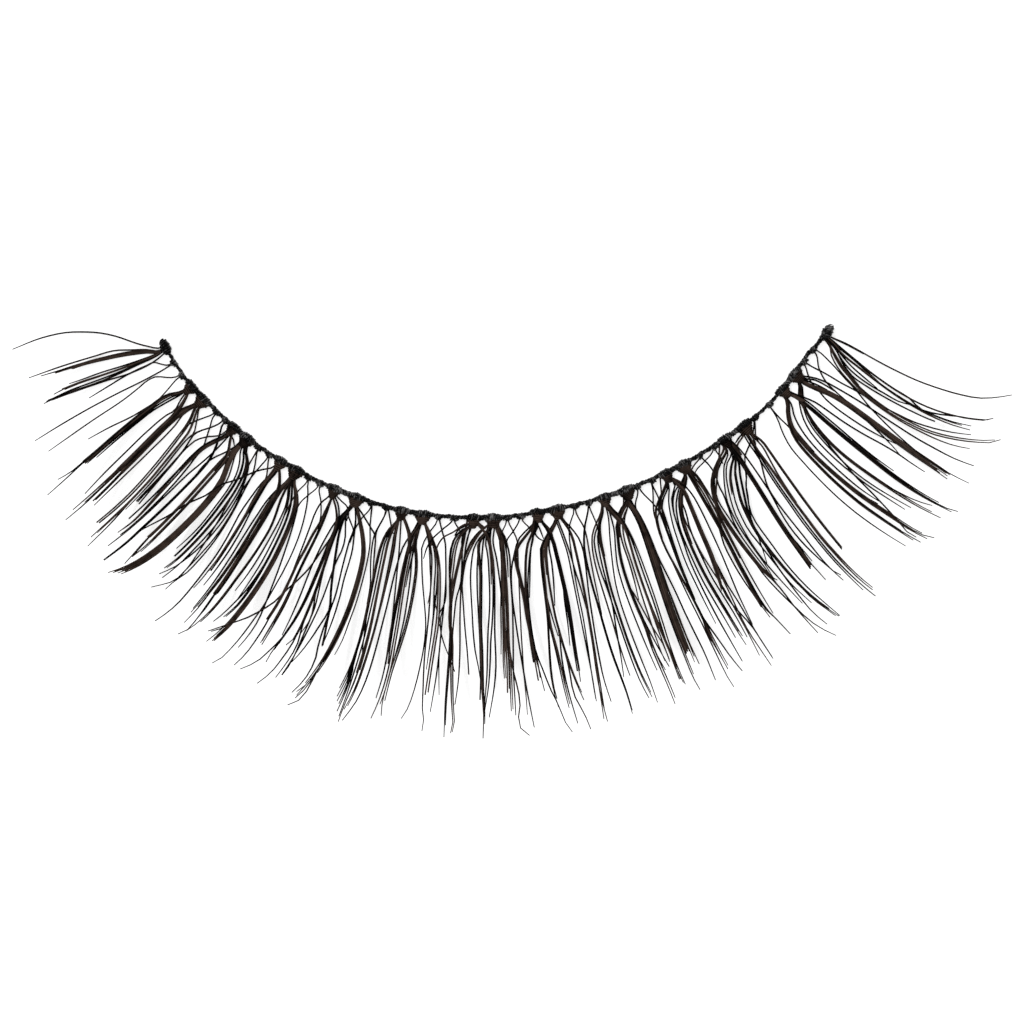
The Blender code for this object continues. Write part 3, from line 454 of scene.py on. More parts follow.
        Lock("844.5@.05 847.7@.1 847@.16 845.5@.23 844@.32 842.5@.42 841.3@.55 841@.715", 2.2, CUT))),
    Tie(910, (
        Lock("904@.04 893@.085 884@.14 879@.2 877.5@.27 877.5@.35 878@.43 879.5@.52 882@.62 885@.7 "
             "888.5@.79 893@.9", 2.7, FINE, (
             "886@.72 890@.82 895.5@.93",)),
        Lock("904@.04 895@.08 888@.12 883.5@.18 881.8@.25 881.8@.32 882.8@.4 884.8@.5 887.8@.6 891@.68 "
             "894.5@.77 898@.86 902.5@.94", 3.5, FINE, (
             "889@.6 893.3@.67",
             "900@.9 906@.96")),
        "904.5@.07 897@.115 891@.19 888.5@.28 888.5@.37 889.5@.47 891.7@.57 895.5@.665",
        "905@.05 894@.1 887@.15 885@.21 884.3@.3",
        Lock("911@.02 915@.07 916.8@.15 917.5@.25 919@.4 920.3@.5 921.5@.6 923.5@.7 926.5@.8 "
             "932.5@.94", 3.5, FINE, (
             "928@.84 931@.91 935@.96",)),
        Lock("910@.02 913@.045 915.5@.075 918@.11", 4),
        "914@.03 919.5@.1 921@.2 921.8@.3 922.3@.4 923.3@.5 925.7@.62",
        "915@.03 921@.09 925.5@.14 927.5@.2 930@.3 934@.41 938@.5 941@.6 941.5@.64 943.3@.73")),
    Tie(935, (
        "930@.03 922@.055 912@.095 904@.14 898@.2 895@.28 894.7@.36 895.5@.43 897@.5 899@.58 902.5@.67 "
        "906.5@.775",
        "930@.04 921@.075 912@.12 906@.16 901.5@.22 899.5@.29 898.7@.36 898.7@.44 900@.52 903@.61 "
        "906.5@.69 911.3@.79",
        "930@.05 920@.09 913@.13 906.5@.18 903@.24 901.3@.31 899.5@.37 898.3@.44 897@.5 896.6@.6 896@.7 "
        "895@.79 893.7@.85 896@.9",
        Lock("931@.04 922@.075 914@.115 909@.165 905.5@.23 903.8@.3 903.7@.38 905.2@.46 907.5@.54 "
             "910@.62 912.7@.7 916.5@.8 922.5@.92", 2.7, FINE, (
             "911@.64 915@.72 920@.8 925@.855",)),
        Lock("931@.03 922@.06 915@.095 911@.13", 3),
        "937@.05 939@.11 936.5@.17 936.3@.22 938@.32 941@.42 944.5@.5 947@.55",
        Lock("934@.03 939.5@.11 944.5@.17 947.7@.25 949@.35 949.5@.45 950@.55 951@.65 952.3@.75 "
             "953@.83", 6, FINE, (
             "947@.36 945.5@.45 942.5@.56 940.8@.6",)),
        "940@.04 945.5@.075 948.5@.12 950@.18",
        "939@.05 943@.1 946@.15",
        "940@.02 947@.065 952@.12 955@.19 957.5@.27 959.5@.36 960.3@.42 961.5@.5 963@.6 965.5@.7 "
        "968.5@.8 973@.89")),
    Tie(1000, (
        Lock("993@.03 982@.07 975@.12 969.5@.2 966.7@.28 966@.36 966.3@.44 967.7@.52 970.5@.61 974@.7 "
             "978@.77 983@.83", 2),
        Lock("992@.03 982@.1 976@.17 971@.24 969@.32 968.7@.4 969.7@.48 972@.56 976@.65 981@.72 987@.79 "
             "993@.85 999@.9 1006@.925", 3, FINE, (
             "971@.47 974@.55 979@.63 986@.72 993.5@.8",)),
        Lock("992@.03 985@.08 978@.14 974@.2 970@.27", 3.5),
        Lock("992@.06 981@.14 976@.2 975.8@.28 977@.36 979@.44 981.5@.52 984.5@.6 986@.63", 2, CUT),
        "994@.05 986@.11 981@.17 979.3@.23 979.3@.3 980.7@.37 981.5@.42 983@.46 985@.48 986.5@.52",
        "995@.05 989@.11 985@.17 982.5@.25 980.7@.33",
        Lock("996@.04 991@.1 988.3@.2 986.8@.28 986@.36 986@.44 987@.52 989@.6 992.5@.69 "
             "998@.785", 2.7, FINE, (
             "989@.58 994@.69 1000@.78",)),
        "998@.03 995@.08 993@.15 989.5@.25 987.3@.32",
        Lock("998@.04 996.5@.08 994@.16 991.5@.25 990.5@.33 990.3@.4 991@.47 993@.55 996@.62 1001@.7 "
             "1008@.765 1017@.825 1023@.845", 2, FINE, (
             "988@.55 992@.61 996.5@.66 1001@.7 1008@.76 1018@.83",)),
        "1001@.03 1003.5@.08 1005@.14 1005.8@.2 1007@.28 1009@.36 1012.5@.46 1018.5@.56 1026@.655 "
        "1036@.745 1047.5@.805 1061@.86",
        Lock("1001@.03 1003@.08 1004.3@.14 1004.8@.19", 2, CUT))),
)

SMALL_TIES: tuple[Tie, ...] = (
    Tie(22.5, (
        "20@.03 14@.055 8.5@.075 6.5@.12 4@.2",
        "22@.05 20@.15 16.5@.28 14@.42 12.8@.58 12.8@.725")),
    Tie(40, (
        "38@.03 31@.07 24.5@.1 22.2@.14 23.5@.19 25@.26 25.3@.45 26.4@.7",
        "41@.03 45@.1 47.7@.16 48.5@.25")),
    Tie(105, (
        "103.5@.015 99.5@.05 95.5@.085 92.5@.12 93@.18 96@.26",
        "107@.02 113@.065 118.5@.11 122@.14 122@.2 121.3@.3")),
    Tie(120, (
        Lock("118@.02 113@.065 108@.1 104@.14 103.5@.18 105@.25 107.5@.34 109@.45 109.5@.6", 0, FINE, (
             Lock("105@.14 106.5@.17 109@.22 110.5@.3 111.5@.42 112@.54", 2, CUT),)),
        Lock("122@.015 128@.06 133@.1 138@.17 138.5@.25 137@.36 134.5@.5 132@.62 130.5@.7 126@.835", 2))),
    Tie(175, (
        "177@.02 178.5@.08 182@.13 187@.17 191.5@.25 193.3@.35 192.7@.45 190@.55 187.3@.63 184.7@.7 "
        "171@.795",
        "178@.015 184@.06 188@.1 191@.19 194.3@.33 194.5@.45 192@.57 188.5@.66 184.5@.71 182@.765",
        "187@.44 187.5@.52 187.5@.6 186.5@.68")),
    Tie(192.5, (
        "192.5@.02 191@.06 189.5@.12 189@.2 190@.28",
        "195@.01 199@.04 204@.08 205.5@.14 205.5@.25")),
    Tie(250, (
        "251@.015 246.5@.07 245@.12 245.5@.2",
        "253@.015 260@.07 266@.15 269@.22 270.5@.3 270.3@.4 268.5@.5 266.5@.6 263.5@.68 260@.77 256@.85 "
        "251@.92 247.5@.945")),
    Tie(267.5, ("266@.015 260@.065 256@.1 254.5@.14 255@.2", "269@.015 277.5@.07 284@.13 286.5@.19")),
    Tie(337.5, (
        "338@.02 331@.08 328@.12 326.5@.2",
        Lock("340.5@.03 343@.09 349@.18 350.8@.25 351.3@.35 350.7@.45 348.7@.55 346.5@.65 "
             "343.5@.71", 0, FINE, (
             "341@.05 344@.1",)))),
    Tie(357.5, (
        "358.5@.02 355@.075 351.5@.13 352.5@.2 356@.28 360@.35 361.5@.45",
        "357.5@.04 353@.12 355@.18 358.8@.27 361@.33",
        "361@.01 365@.045 368.5@.075 373@.11")),
    Tie(425, (
        "424@.02 417@.07 411@.12 409.3@.15 411@.2 415@.3 420@.4 424@.5 424.5@.58 422.7@.7 420@.8 416@.89 "
        "412@.935",
        Lock("427@.015 432@.07 436@.11 438.3@.18 440.3@.27 440.7@.4 440@.5 439.7@.6 439@.7 437.5@.8 "
             "436@.89", 0, FINE, (
             "440@.52 439.7@.63 441@.72 442.5@.81",
             "438@.47 440@.53 444@.58 449.5@.635 455.5@.7",
             "436@.45 438@.5 440@.51")))),
    Tie(445, ("443@.01 432@.055 420.5@.105 416@.14 413@.2", "446@.015 452@.05 456.5@.08 458@.15")),
    Tie(512.5, (
        "511@.02 507@.05 503@.08 502@.15",
        "514@.015 519@.06 523@.1 522.7@.17 521.7@.27 520.7@.4 520@.5 519.7@.6 519.5@.7 520@.8 520@.9")),
    Tie(530, ("528@.01 519.5@.06 511@.1 509.5@.16", "532@.015 539@.05 543@.09 540@.14")),
    Tie(600, (
        "598@.01 589@.07 586@.12 584.7@.2 583.7@.3 583.5@.4 583.7@.5 583@.6 582@.7 581@.8 580.8@.87",
        "600.5@.02 606@.1 606.3@.14 605.3@.2 604@.3 603.3@.4 603@.5")),
    Tie(620, (
        Lock("617@.01 606@.1 600.5@.19 599.7@.25 600@.35 601.3@.45 602.3@.55 603.3@.63 604.5@.7 "
             "606.5@.78 608.5@.87 609.3@.97", 2),
        "618.7@.01 620@.05 621.5@.09 621.5@.15")),
    Tie(685, ("683@.01 674@.065 672.5@.12", "687@.01 695@.09 698@.14 697.5@.22")),
    Tie(705, ("702@.02 695.5@.085 692@.12 690@.2", "703.3@.01 703.7@.06 703@.11 701.5@.18 699@.28")),
    Tie(775, ("775.5@.01 777.5@.04 778.3@.08 776.5@.13", "771@.002 764@.012 757@.025 753@.04")),
    Tie(797.5, ("795@.01 795@.05 793@.08", "790@.008 775@.025 760@.042 754@.06")),
    Tie(860, ("856@.01 851@.03 845@.05 840@.08 835@.13", "857@.01 851@.04 846@.065 844@.1")),
    Tie(885, (
        "883@.02 880@.07 873.5@.13 868.7@.2 867.7@.3 868@.4 869.3@.5 871.7@.6 875.3@.7 879.7@.8 "
        "884.3@.895",
        "883@.03 882.5@.08 883@.13 882@.2")),
    Tie(955, ("952@.002 946@.035 941@.07 939.5@.13", "956@.01 960@.1 962.3@.18 965@.25 966.5@.33")),
    Tie(975, (
        "973@.003 960@.06 953@.115 950.5@.18 950@.25",
        "977@.015 975@.07 972.5@.12 969@.18 966@.25 961@.33 958@.4 955.7@.48 954@.57 953.3@.67 954.5@.77 "
        "956.5@.85 959@.92")),
)


# The sheet that the hairs follow


def read_places(path: str) -> Array:
    """The places of a path written as "thousandth@reach", as rows of share and reach."""
    return np.array([spot.split("@") for spot in path.split()], float) * (THOUSANDTH, 1.0)


@dataclass(frozen=True)
class LashSheet:
    """The curved band line in plan and the curling sheet of hairs that leaves it."""

    length: float = 0.033
    turn: float = math.radians(117.5)
    lean: float = math.radians(-1.0)
    ease: float = 0.08
    skew: float = math.radians(3.2)
    middle: float = 495 * THOUSANDTH
    reach: float = 0.0092
    rise: float = 0.0036
    axis_height: float = 0.0002
    belly_height: float = 0.00004
    steps: int = 528
    thread_line: str = (
        "0@-.004 55@-.002 85@-.008 100@-.012 230@-.015 300@-.010 345@-.007 378@-.003 405@-.003 440@-.005 "
        "480@-.006 520@-.008 550@-.014 570@-.016 700@-.017 800@-.013 870@-.003 905@-.006 965@-.021 "
        "1000@-.004"
    )

    def sway(self, share: Array) -> Array:
        """Where the thread lies beside the band line, as a share of the reach, read along thread_line.

        Args:
            share: places along the band, 0 to 1.

        Returns:
            The reach of the thread's middle there, negative on the eyelid side.
        """
        spots = read_places(self.thread_line)
        return np.interp(share, spots[:, 0], spots[:, 1])

    def heading(self, share: Array) -> Array:
        """The band's direction, as an angle from +X towards -Y.

        The angle falls evenly along the band, with an easing cube of the share and a small skew.

        Args:
            share: places along the band, 0 to 1.

        Returns:
            The angles, in radians.
        """
        across = 2 * share - 1
        bend = across * (1 - self.ease) + self.ease * across**3
        return self.lean - self.turn / 2 * bend + self.skew * (across**2 - 1 / 3)

    def line(self) -> tuple[Array, Array]:
        """The band line as the running sum of short steps along the heading.

        Returns:
            Shares along the band, and the plan points there, the middle knot at the origin.
        """
        shares = np.linspace(0.0, 1.0, self.steps + 1)
        angles = self.heading((shares[:-1] + shares[1:]) / 2)
        moves = np.stack([np.cos(angles), -np.sin(angles)], axis=1) * self.length / self.steps
        points = np.concatenate([np.zeros((1, 2)), np.cumsum(moves, axis=0)])
        middle = [np.interp(self.middle, shares, points[:, axis]) for axis in (0, 1)]
        return shares, points - middle

    def plan(self, share: Array, reach: Array) -> Array:
        """Plan points: the band line, straight on past its ends, plus the square direction times reach.

        Args:
            share: places along the band.
            reach: shares of the longest reach.

        Returns:
            XY points, with the last axis of length 2.
        """
        shares, points = self.line()
        held = np.clip(share, 0.0, 1.0)
        on_band = np.stack([np.interp(held, shares, points[:, axis]) for axis in (0, 1)], axis=-1)
        angle = self.heading(held)
        along = np.stack([np.cos(angle), -np.sin(angle)], axis=-1)
        outward = np.stack([-np.sin(angle), -np.cos(angle)], axis=-1)
        past = (share - held)[..., None] * self.length
        return on_band + along * past + outward * reach[..., None] * self.reach

    def height(self, reach: Array, curl: Array, lift: Array) -> Array:
        """Heights of hairs: a parabola that dips from the knot to the surface, then curls up.

        Args:
            reach: shares of the longest reach, a row for each hair.
            curl: each hair's own curl, as a share of rise.
            lift: how far each hair lies above the lowest ones, in metres.

        Returns:
            Heights above the surface.
        """
        drop = math.sqrt((self.axis_height - self.belly_height) / self.rise)
        belly = drop / (1 + drop)
        bowl = ((reach - belly) / (1 - belly)) ** 2 * self.rise
        raised = np.where(reach > belly, bowl * curl[:, None], bowl)
        settled = np.clip(reach / belly, 0.0, 1.0)
        return self.belly_height + raised + settled * lift[:, None]

    def local_axes(self, share: float) -> tuple[Array, Array, Array]:
        """The frame of a knot.

        Args:
            share: the knot's place along the band.

        Returns:
            Its centre on the band's axis, the direction along the band and the one outward.
        """
        spot = self.plan(np.array([share]), self.sway(np.array([share])))[0]
        angle = float(self.heading(np.clip(np.array([share]), 0.0, 1.0))[0])
        along = np.array([math.cos(angle), -math.sin(angle), 0.0])
        outward = np.array([-math.sin(angle), -math.cos(angle), 0.0])
        return np.array([spot[0], spot[1], self.axis_height]), along, outward


# Shapes

SHORTEST_VECTOR = 1e-12
SHORTEST_GAP = 1e-7


def unit(vectors: Array) -> Array:
    """Vectors of length one in the same directions."""
    return vectors / np.maximum(np.linalg.norm(vectors, axis=-1, keepdims=True), SHORTEST_VECTOR)


def thin_ends(way: Array) -> Array:
    """How thick a winding is along itself: full, and half at its two ends."""
    return np.interp(way, (0.0, 0.05, 0.95, 1.0), (0.5, 1.0, 1.0, 0.5))


def smooth_line(points: Array, stations: Array) -> Array:
    """A smooth line through points: cubic pieces whose slopes come from both neighbours.

    Args:
        points: the charted points, one row each, in any number of dimensions.
        stations: where to read the line, from 0 at its start to 1 at its end.

    Returns:
        One row for each station.
    """
    gaps = np.linalg.norm(np.diff(points[:, :2], axis=0), axis=1)
    places = np.concatenate([[0.0], np.cumsum(np.maximum(gaps, SHORTEST_GAP))])
    slopes = np.gradient(points, places, axis=0)
    wanted = stations * places[-1]
    piece = np.clip(np.searchsorted(places, wanted, side="right") - 1, 0, len(places) - 2)
    span = (places[piece + 1] - places[piece])[:, None]
    way = ((wanted - places[piece]) / span[:, 0])[:, None]
    square, cube = way**2, way**3
    start = (2 * cube - 3 * square + 1) * points[piece] + (cube - 2 * square + way) * span * slopes[piece]
    end = (3 * square - 2 * cube) * points[piece + 1] + (cube - square) * span * slopes[piece + 1]
    return start + end


@dataclass
class Bundle:
    """Tubes swept along lines, gathered until they become one mesh."""

    name: str
    sides: int
    rings: list[Array] = field(default_factory=list)
    tones_and_highlights: list[Array] = field(default_factory=list)

    def sweep(self, lines: Array, radii: Array, tones_and_highlights: Array, aside: Array | None = None) -> None:
        """Adds tubes: round each line's point, a ring in the plane square to the line there.

        Args:
            lines: centre lines, as tubes by points by 3.
            radii: radius at each point of each tube.
            tones_and_highlights: one number for each tube, 0 to 1, that its finish reads.
            aside: a direction at each point to start the ring from, or None for the level one.
        """
        ahead = unit(np.gradient(lines, axis=1))
        across = unit(np.cross(ahead, UPWARD)) if aside is None else unit(aside)
        over = unit(np.cross(across, ahead))
        turns = 2 * np.pi * np.arange(self.sides) / self.sides
        ring = np.cos(turns)[:, None] * across[:, :, None] + np.sin(turns)[:, None] * over[:, :, None]
        self.rings.append(lines[:, :, None] + ring * radii[:, :, None, None])
        self.tones_and_highlights.append(tones_and_highlights)

    def mesh(self) -> bpy.types.Mesh:
        """One closed mesh of all the tubes, with a UV map along them and a tone for each, which also carries
        painted highlight.

        Returns:
            The mesh, smooth, with its faces pointing out.
        """
        points = np.concatenate([ring.reshape(-1, 3) for ring in self.rings])
        walls, caps, rows, shades, first = [], [], [], [], 0
        for ring, tone_and_highlight in zip(self.rings, self.tones_and_highlights):
            tubes, stations, sides, _ = ring.shape
            index = first + np.arange(tubes * stations * sides).reshape(tubes, stations, sides)
            turned = np.roll(index, -1, axis=2)
            wall = np.stack([index[:, :-1], index[:, 1:], turned[:, 1:], turned[:, :-1]], -1)
            walls.append(wall.reshape(-1, 4))
            caps.append(np.concatenate([index[:, 0], index[:, -1, ::-1]]))
            along, around = np.meshgrid(np.arange(stations - 1), np.arange(sides), indexing="ij")
            cell = np.stack([around, along, around, along + 1, around + 1, along + 1, around + 1, along], -1)
            cell = cell / np.tile([sides, stations - 1], 4)
            rows.append(np.tile(cell.reshape(-1, 8), (tubes, 1)))
            shades.append(np.repeat(tone_and_highlight, stations * sides))
            first += tubes * stations * sides
        quads, ends, uvs = np.concatenate(walls), np.concatenate(caps), np.concatenate(rows)
        corners = np.concatenate([quads.ravel(), ends.ravel()])
        starts = np.concatenate([
            np.arange(len(quads)) * 4,
            quads.size + np.arange(len(ends)) * ends.shape[1],
        ])
        data = bpy.data.meshes.new(self.name)
        data.vertices.add(len(points))
        data.vertices.foreach_set("co", points.astype(np.float32).ravel())
        data.loops.add(len(corners))
        data.loops.foreach_set("vertex_index", corners.astype(np.int32))
        data.polygons.add(len(starts))
        data.polygons.foreach_set("loop_start", starts.astype(np.int32))
        data.update(calc_edges=True)
        layer = data.uv_layers.new(name="fibre")
        flat = np.concatenate([uvs.ravel(), np.zeros(ends.size * 2)])
        layer.data.foreach_set("uv", flat.astype(np.float32))
        # Each tube's tone: how much of the finish's paler colour it shows, in part a painted highlight.
        tone_highlight_layer = data.attributes.new("tone_and_highlight", "FLOAT", "POINT")
        tone_highlight_layer.data.foreach_set("value", np.concatenate(shades).astype(np.float32))
        data.shade_smooth()
        data.validate()
        return data


# Finishes


@dataclass(frozen=True)
class FibreFinish:
    """Dark fibre: two colours mixed by tone and noise, the paler one partly painted highlight, with a streaked
    gloss along its length.
    """

    name: str
    deep: tuple[float, float, float, float]
    pale_and_highlight: tuple[float, float, float, float]
    roughness: tuple[float, float]
    ior: float
    fleck_scale: float
    ramp: tuple[float, float]
    streak_scale: tuple[float, float, float]
    bump: float
    ridge_height: float = 0.000004
    fleck_detail: float = 3.0
    streak_detail: float = 4.0
    streak_range: tuple[float, float] = (0.3, 0.7)

    def material(self) -> bpy.types.Material:
        """Builds the finish from the piece's own tone, its UV map and Object coordinates. The paler colour that
        the tone brings in is partly painted highlight.

        Returns:
            The material.
        """
        made = bpy.data.materials.new(self.name)
        made.use_nodes = True
        nodes, links = made.node_tree.nodes, made.node_tree.links
        shader = nodes["Principled BSDF"]
        shader.inputs["Metallic"].default_value = 0.0
        shader.inputs["IOR"].default_value = self.ior
        place = nodes.new("ShaderNodeTexCoord")
        tone_and_highlight = nodes.new("ShaderNodeAttribute")
        tone_and_highlight.attribute_name = "tone_and_highlight"
        fleck = nodes.new("ShaderNodeTexNoise")
        fleck.inputs["Scale"].default_value = self.fleck_scale
        fleck.inputs["Detail"].default_value = self.fleck_detail
        links.new(place.outputs["Object"], fleck.inputs["Vector"])
        stretch = nodes.new("ShaderNodeMapping")
        stretch.inputs["Scale"].default_value = self.streak_scale
        links.new(place.outputs["UV"], stretch.inputs["Vector"])
        streak = nodes.new("ShaderNodeTexNoise")
        streak.inputs["Scale"].default_value = 1.0
        streak.inputs["Detail"].default_value = self.streak_detail
        links.new(stretch.outputs["Vector"], streak.inputs["Vector"])
        # Tone times noise picks the paler colour: on the thread its grey flecks are painted glints, on the hair
        # its brown is partly painted sheen.
        blend = nodes.new("ShaderNodeMath")
        blend.operation = "MULTIPLY"
        links.new(tone_and_highlight.outputs["Fac"], blend.inputs[0])
        links.new(fleck.outputs["Fac"], blend.inputs[1])
        ramp = nodes.new("ShaderNodeValToRGB")
        for stop, position, colour in zip(ramp.color_ramp.elements, self.ramp, (self.deep, self.pale_and_highlight)):
            stop.position = position
            stop.color = colour
        links.new(blend.outputs["Value"], ramp.inputs["Fac"])
        links.new(ramp.outputs["Color"], shader.inputs["Base Color"])
        gloss = nodes.new("ShaderNodeMapRange")
        for name, value in zip(("From Min", "From Max", "To Min", "To Max"), self.streak_range + self.roughness):
            gloss.inputs[name].default_value = value
        links.new(streak.outputs["Fac"], gloss.inputs["Value"])
        links.new(gloss.outputs["Result"], shader.inputs["Roughness"])
        ridge = nodes.new("ShaderNodeBump")
        ridge.inputs["Strength"].default_value = self.bump
        ridge.inputs["Distance"].default_value = self.ridge_height
        links.new(streak.outputs["Fac"], ridge.inputs["Height"])
        links.new(ridge.outputs["Normal"], shader.inputs["Normal"])
        return made


HAIR_FINISH = FibreFinish(
    name="lash_hair",
    deep=(0.0009, 0.0005, 0.0004, 1.0),
    # The paler brown is the hair's own colour, and on thick locks also a painted sheen.
    pale_and_highlight=(0.07, 0.047, 0.037, 1.0),
    roughness=(0.32, 0.55),
    ior=1.12,
    fleck_scale=2500.0,
    ramp=(0.14, 0.52),
    streak_scale=(5.0, 2.5, 1.0),
    bump=0.25,
)

THREAD_FINISH = FibreFinish(
    name="wound_thread",
    deep=(0.0006, 0.0006, 0.0007, 1.0),
    # The pale grey is painted glint: grey flecks on the black thread stand in for its glints.
    pale_and_highlight=(0.2, 0.195, 0.195, 1.0),
    roughness=(0.12, 0.3),
    ior=1.25,
    fleck_scale=8000.0,
    ramp=(0.34, 0.6),
    streak_scale=(3.0, 14.0, 1.0),
    bump=0.5,
)


@dataclass
class Palette:
    """The finishes of the strip, each made once."""

    materials: dict[Slot, bpy.types.Material] = field(default_factory=dict)

    def prepare(self) -> None:
        """Makes both finishes."""
        self.materials = {Slot.HAIR: HAIR_FINISH.material(), Slot.THREAD: THREAD_FINISH.material()}

    def dress(self, bundle: Bundle, slot: Slot, nodes: Sequence[str]) -> bpy.types.Object:
        """Turns a bundle into a finished piece that stands for CAD nodes.

        Args:
            bundle: the gathered tubes.
            slot: the slot that the finish is for.
            nodes: the CAD nodes that the piece replaces.

        Returns:
            The piece.
        """
        data = bundle.mesh()
        data.materials.append(self.materials[slot])
        piece = bpy.data.objects.new(bundle.name, data)
        bpy.context.scene.collection.objects.link(piece)
        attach(piece, "root")
        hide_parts(*nodes)
        LOG.info("%s: %d faces", piece.name, len(data.polygons))
        return piece


# Pieces

LARGEST_PHASE = 6.0


@dataclass
class Hairs:
    """Turns charted locks into hairs: thin tubes that narrow to the tip.

    The pairs called curls, sway_waves and girths are the least and the most of a small difference. A
    tone is the middle and the spread of a hair's warmth, and the least that it falls to. A thick lock's
    extra warmth is painted sheen.
    """

    sheet: LashSheet
    diameter: float = 0.00008
    tip_share: float = 0.55
    cut_share: float = 0.88
    taper_start: float = 0.78
    root_share: float = 0.8
    root_taper: float = 0.03
    spacing: float = 0.000056
    stations: int = 24
    sides: int = 5
    root_crowding: float = 1.25
    root_gather: float = 0.6
    split_gap: float = 0.035
    layer_lift: float = 0.00017
    row_lift: float = 0.00005
    loose_lift: float = 0.00008
    fan_reach: float = 0.12
    fan_share: float = 0.45
    sway_size: float = 0.3
    cut_trim: float = 0.025
    fine_trim: float = 0.08
    curls: tuple[float, float] = (0.94, 1.03)
    sway_waves: tuple[float, float] = (0.8, 1.6)
    girths: tuple[float, float] = (0.92, 1.06)
    thick_lock: float = 2.2
    # Thick locks show more of the paler brown: a painted sheen where many hairs lie flat together.
    thick_sheen_tone: tuple[float, float, float] = (0.72, 0.26, 0.3)
    thin_tone: tuple[float, float, float] = (0.3, 0.2, 0.0)

    def opened(self, lock: Lock | str, root: Array, stem: Array | None = None) -> list[tuple[Array, Lock]]:
        """A lock and its splits as whole paths from the knot.

        Args:
            lock: a lock, or the path of a single hair.
            root: rows of share and reach inside the knot.
            stem: the path that a split leaves, or None.

        Returns:
            Pairs of a path and the lock that it belongs to.
        """
        whole = Lock(lock) if isinstance(lock, str) else lock
        own = read_places(whole.path)
        if stem is None:
            route = np.concatenate([root, own])
        else:
            route = np.concatenate([stem[stem[:, 1] < own[0, 1] - self.split_gap], own])
        found = [(route, whole)]
        for split in whole.splits:
            found += self.opened(split, root, route)
        return found

    def grow(self, bundle: Bundle, tie: Tie, half_knot: float, layer: int, chance: np.random.Generator) -> int:
        """Adds every hair of a knot to a bundle.

        Each lock gives as many hairs as lie side by side in its width, and a wide one a second row on
        top. A hair's share along the band is the lock's, plus its own place across, which fans out from
        the knot, plus a slow sway. Its height is the sheet's at its reach, plus its layer's and its own.

        Args:
            bundle: the bundle to add to.
            tie: the knot and its locks.
            half_knot: half the length of knot that hairs leave from, in metres.
            layer: 0 for the low layer and 1 for the high one.
            chance: the seeded source of small differences.

        Returns:
            How many hairs were added.
        """
        lines, radii, tones_and_highlights = [], [], []
        middle = tie.place * THOUSANDTH
        span = half_knot / self.sheet.length
        seat = float(self.sheet.sway(np.array(middle)))
        stations = np.linspace(0.0, 1.0, self.stations + 1) ** self.root_crowding
        for lock in tie.locks:
            first = read_places(lock if isinstance(lock, str) else lock.path)[0, 0]
            beside = np.clip((first - middle) * self.root_gather, -span, span)
            root = np.array([[middle + beside, seat]])
            for route, whole in self.opened(lock, root):
                for number, (across, stacked) in enumerate(self.places(whole.width)):
                    way = stations * self.trim(whole, number, chance)
                    line, reach = self.strand(route, whole, across, way, chance)
                    lift = self.layer_lift * layer + self.row_lift * stacked
                    lift += chance.uniform(0.0, self.loose_lift)
                    curl = chance.uniform(*self.curls)
                    height = self.sheet.height(reach[None], np.array([curl]), np.array([lift]))[0]
                    lines.append(np.concatenate([line, height[:, None]], axis=1))
                    radii.append(self.radius(stations, whole.end, chance))
                    tones_and_highlights.append(self.tone_and_highlight(whole.width, chance))
        bundle.sweep(np.stack(lines), np.stack(radii), np.array(tones_and_highlights))
        return len(lines)

    def places(self, width: float) -> list[tuple[float, int]]:
        """Where a lock's hairs lie: a low row side by side and, on three hairs or more, a high row.

        A high hair lies over the gap between two low ones.

        Args:
            width: the lock's width, in thousandths of the band.

        Returns:
            For each hair, its place across in thousandths, and 0 for the low row or 1 for the high one.
        """
        room = max(width - self.diameter / self.sheet.length / THOUSANDTH / 2, 0.0)
        count = round(room * THOUSANDTH * self.sheet.length / self.spacing) + 1
        if count == 1:
            return [(0.0, 0)]
        low = [(room * (index / (count - 1) - 0.5), 0) for index in range(count)]
        high = [(room * ((index + 0.5) / (count - 1) - 0.5), 1) for index in range(count - 1)]
        return low + high if count > 2 else low

    def trim(self, lock: Lock, number: int, chance: np.random.Generator) -> float:
        """What share of its charted length a hair keeps: all of it, or a little less beside the first.

        Args:
            lock: the lock that the hair belongs to.
            number: 0 for the lock's first hair.
            chance: the seeded source of small differences.

        Returns:
            The share.
        """
        if number == 0:
            return 1.0
        return 1.0 - chance.uniform(0.0, self.cut_trim if lock.end is CUT else self.fine_trim)

    def strand(
        self, route: Array, lock: Lock, across: float, way: Array, chance: np.random.Generator
    ) -> tuple[Array, Array]:
        """One hair's plan line: the smooth route, moved along the band by its place across and a sway.

        Its place across counts in part at the knot and in full from fan_reach on. The sway is a sine of
        the way along the hair, and a single hair has none.

        Args:
            route: rows of share and reach.
            lock: the lock that the hair belongs to.
            across: its place across the lock, in thousandths of the band.
            way: where its sections lie along the route, 0 at the root and 1 at the charted tip.
            chance: the seeded source of small differences.

        Returns:
            Plan points and their reaches.
        """
        plan = self.sheet.plan(route[:, 0], route[:, 1])
        read = smooth_line(np.concatenate([plan, route], axis=1), way)
        share, reach = read[:, 2], read[:, 3]
        fan = np.interp(reach, (0.0, self.fan_reach), (self.fan_share, 1.0))
        size = chance.normal(0.0, self.sway_size) if lock.width > 0 else 0.0
        sway = size * np.sin(np.pi * way * chance.uniform(*self.sway_waves))
        moved = share + (across * fan + sway) * THOUSANDTH
        return self.sheet.plan(moved, reach), np.maximum(reach, 0.0)

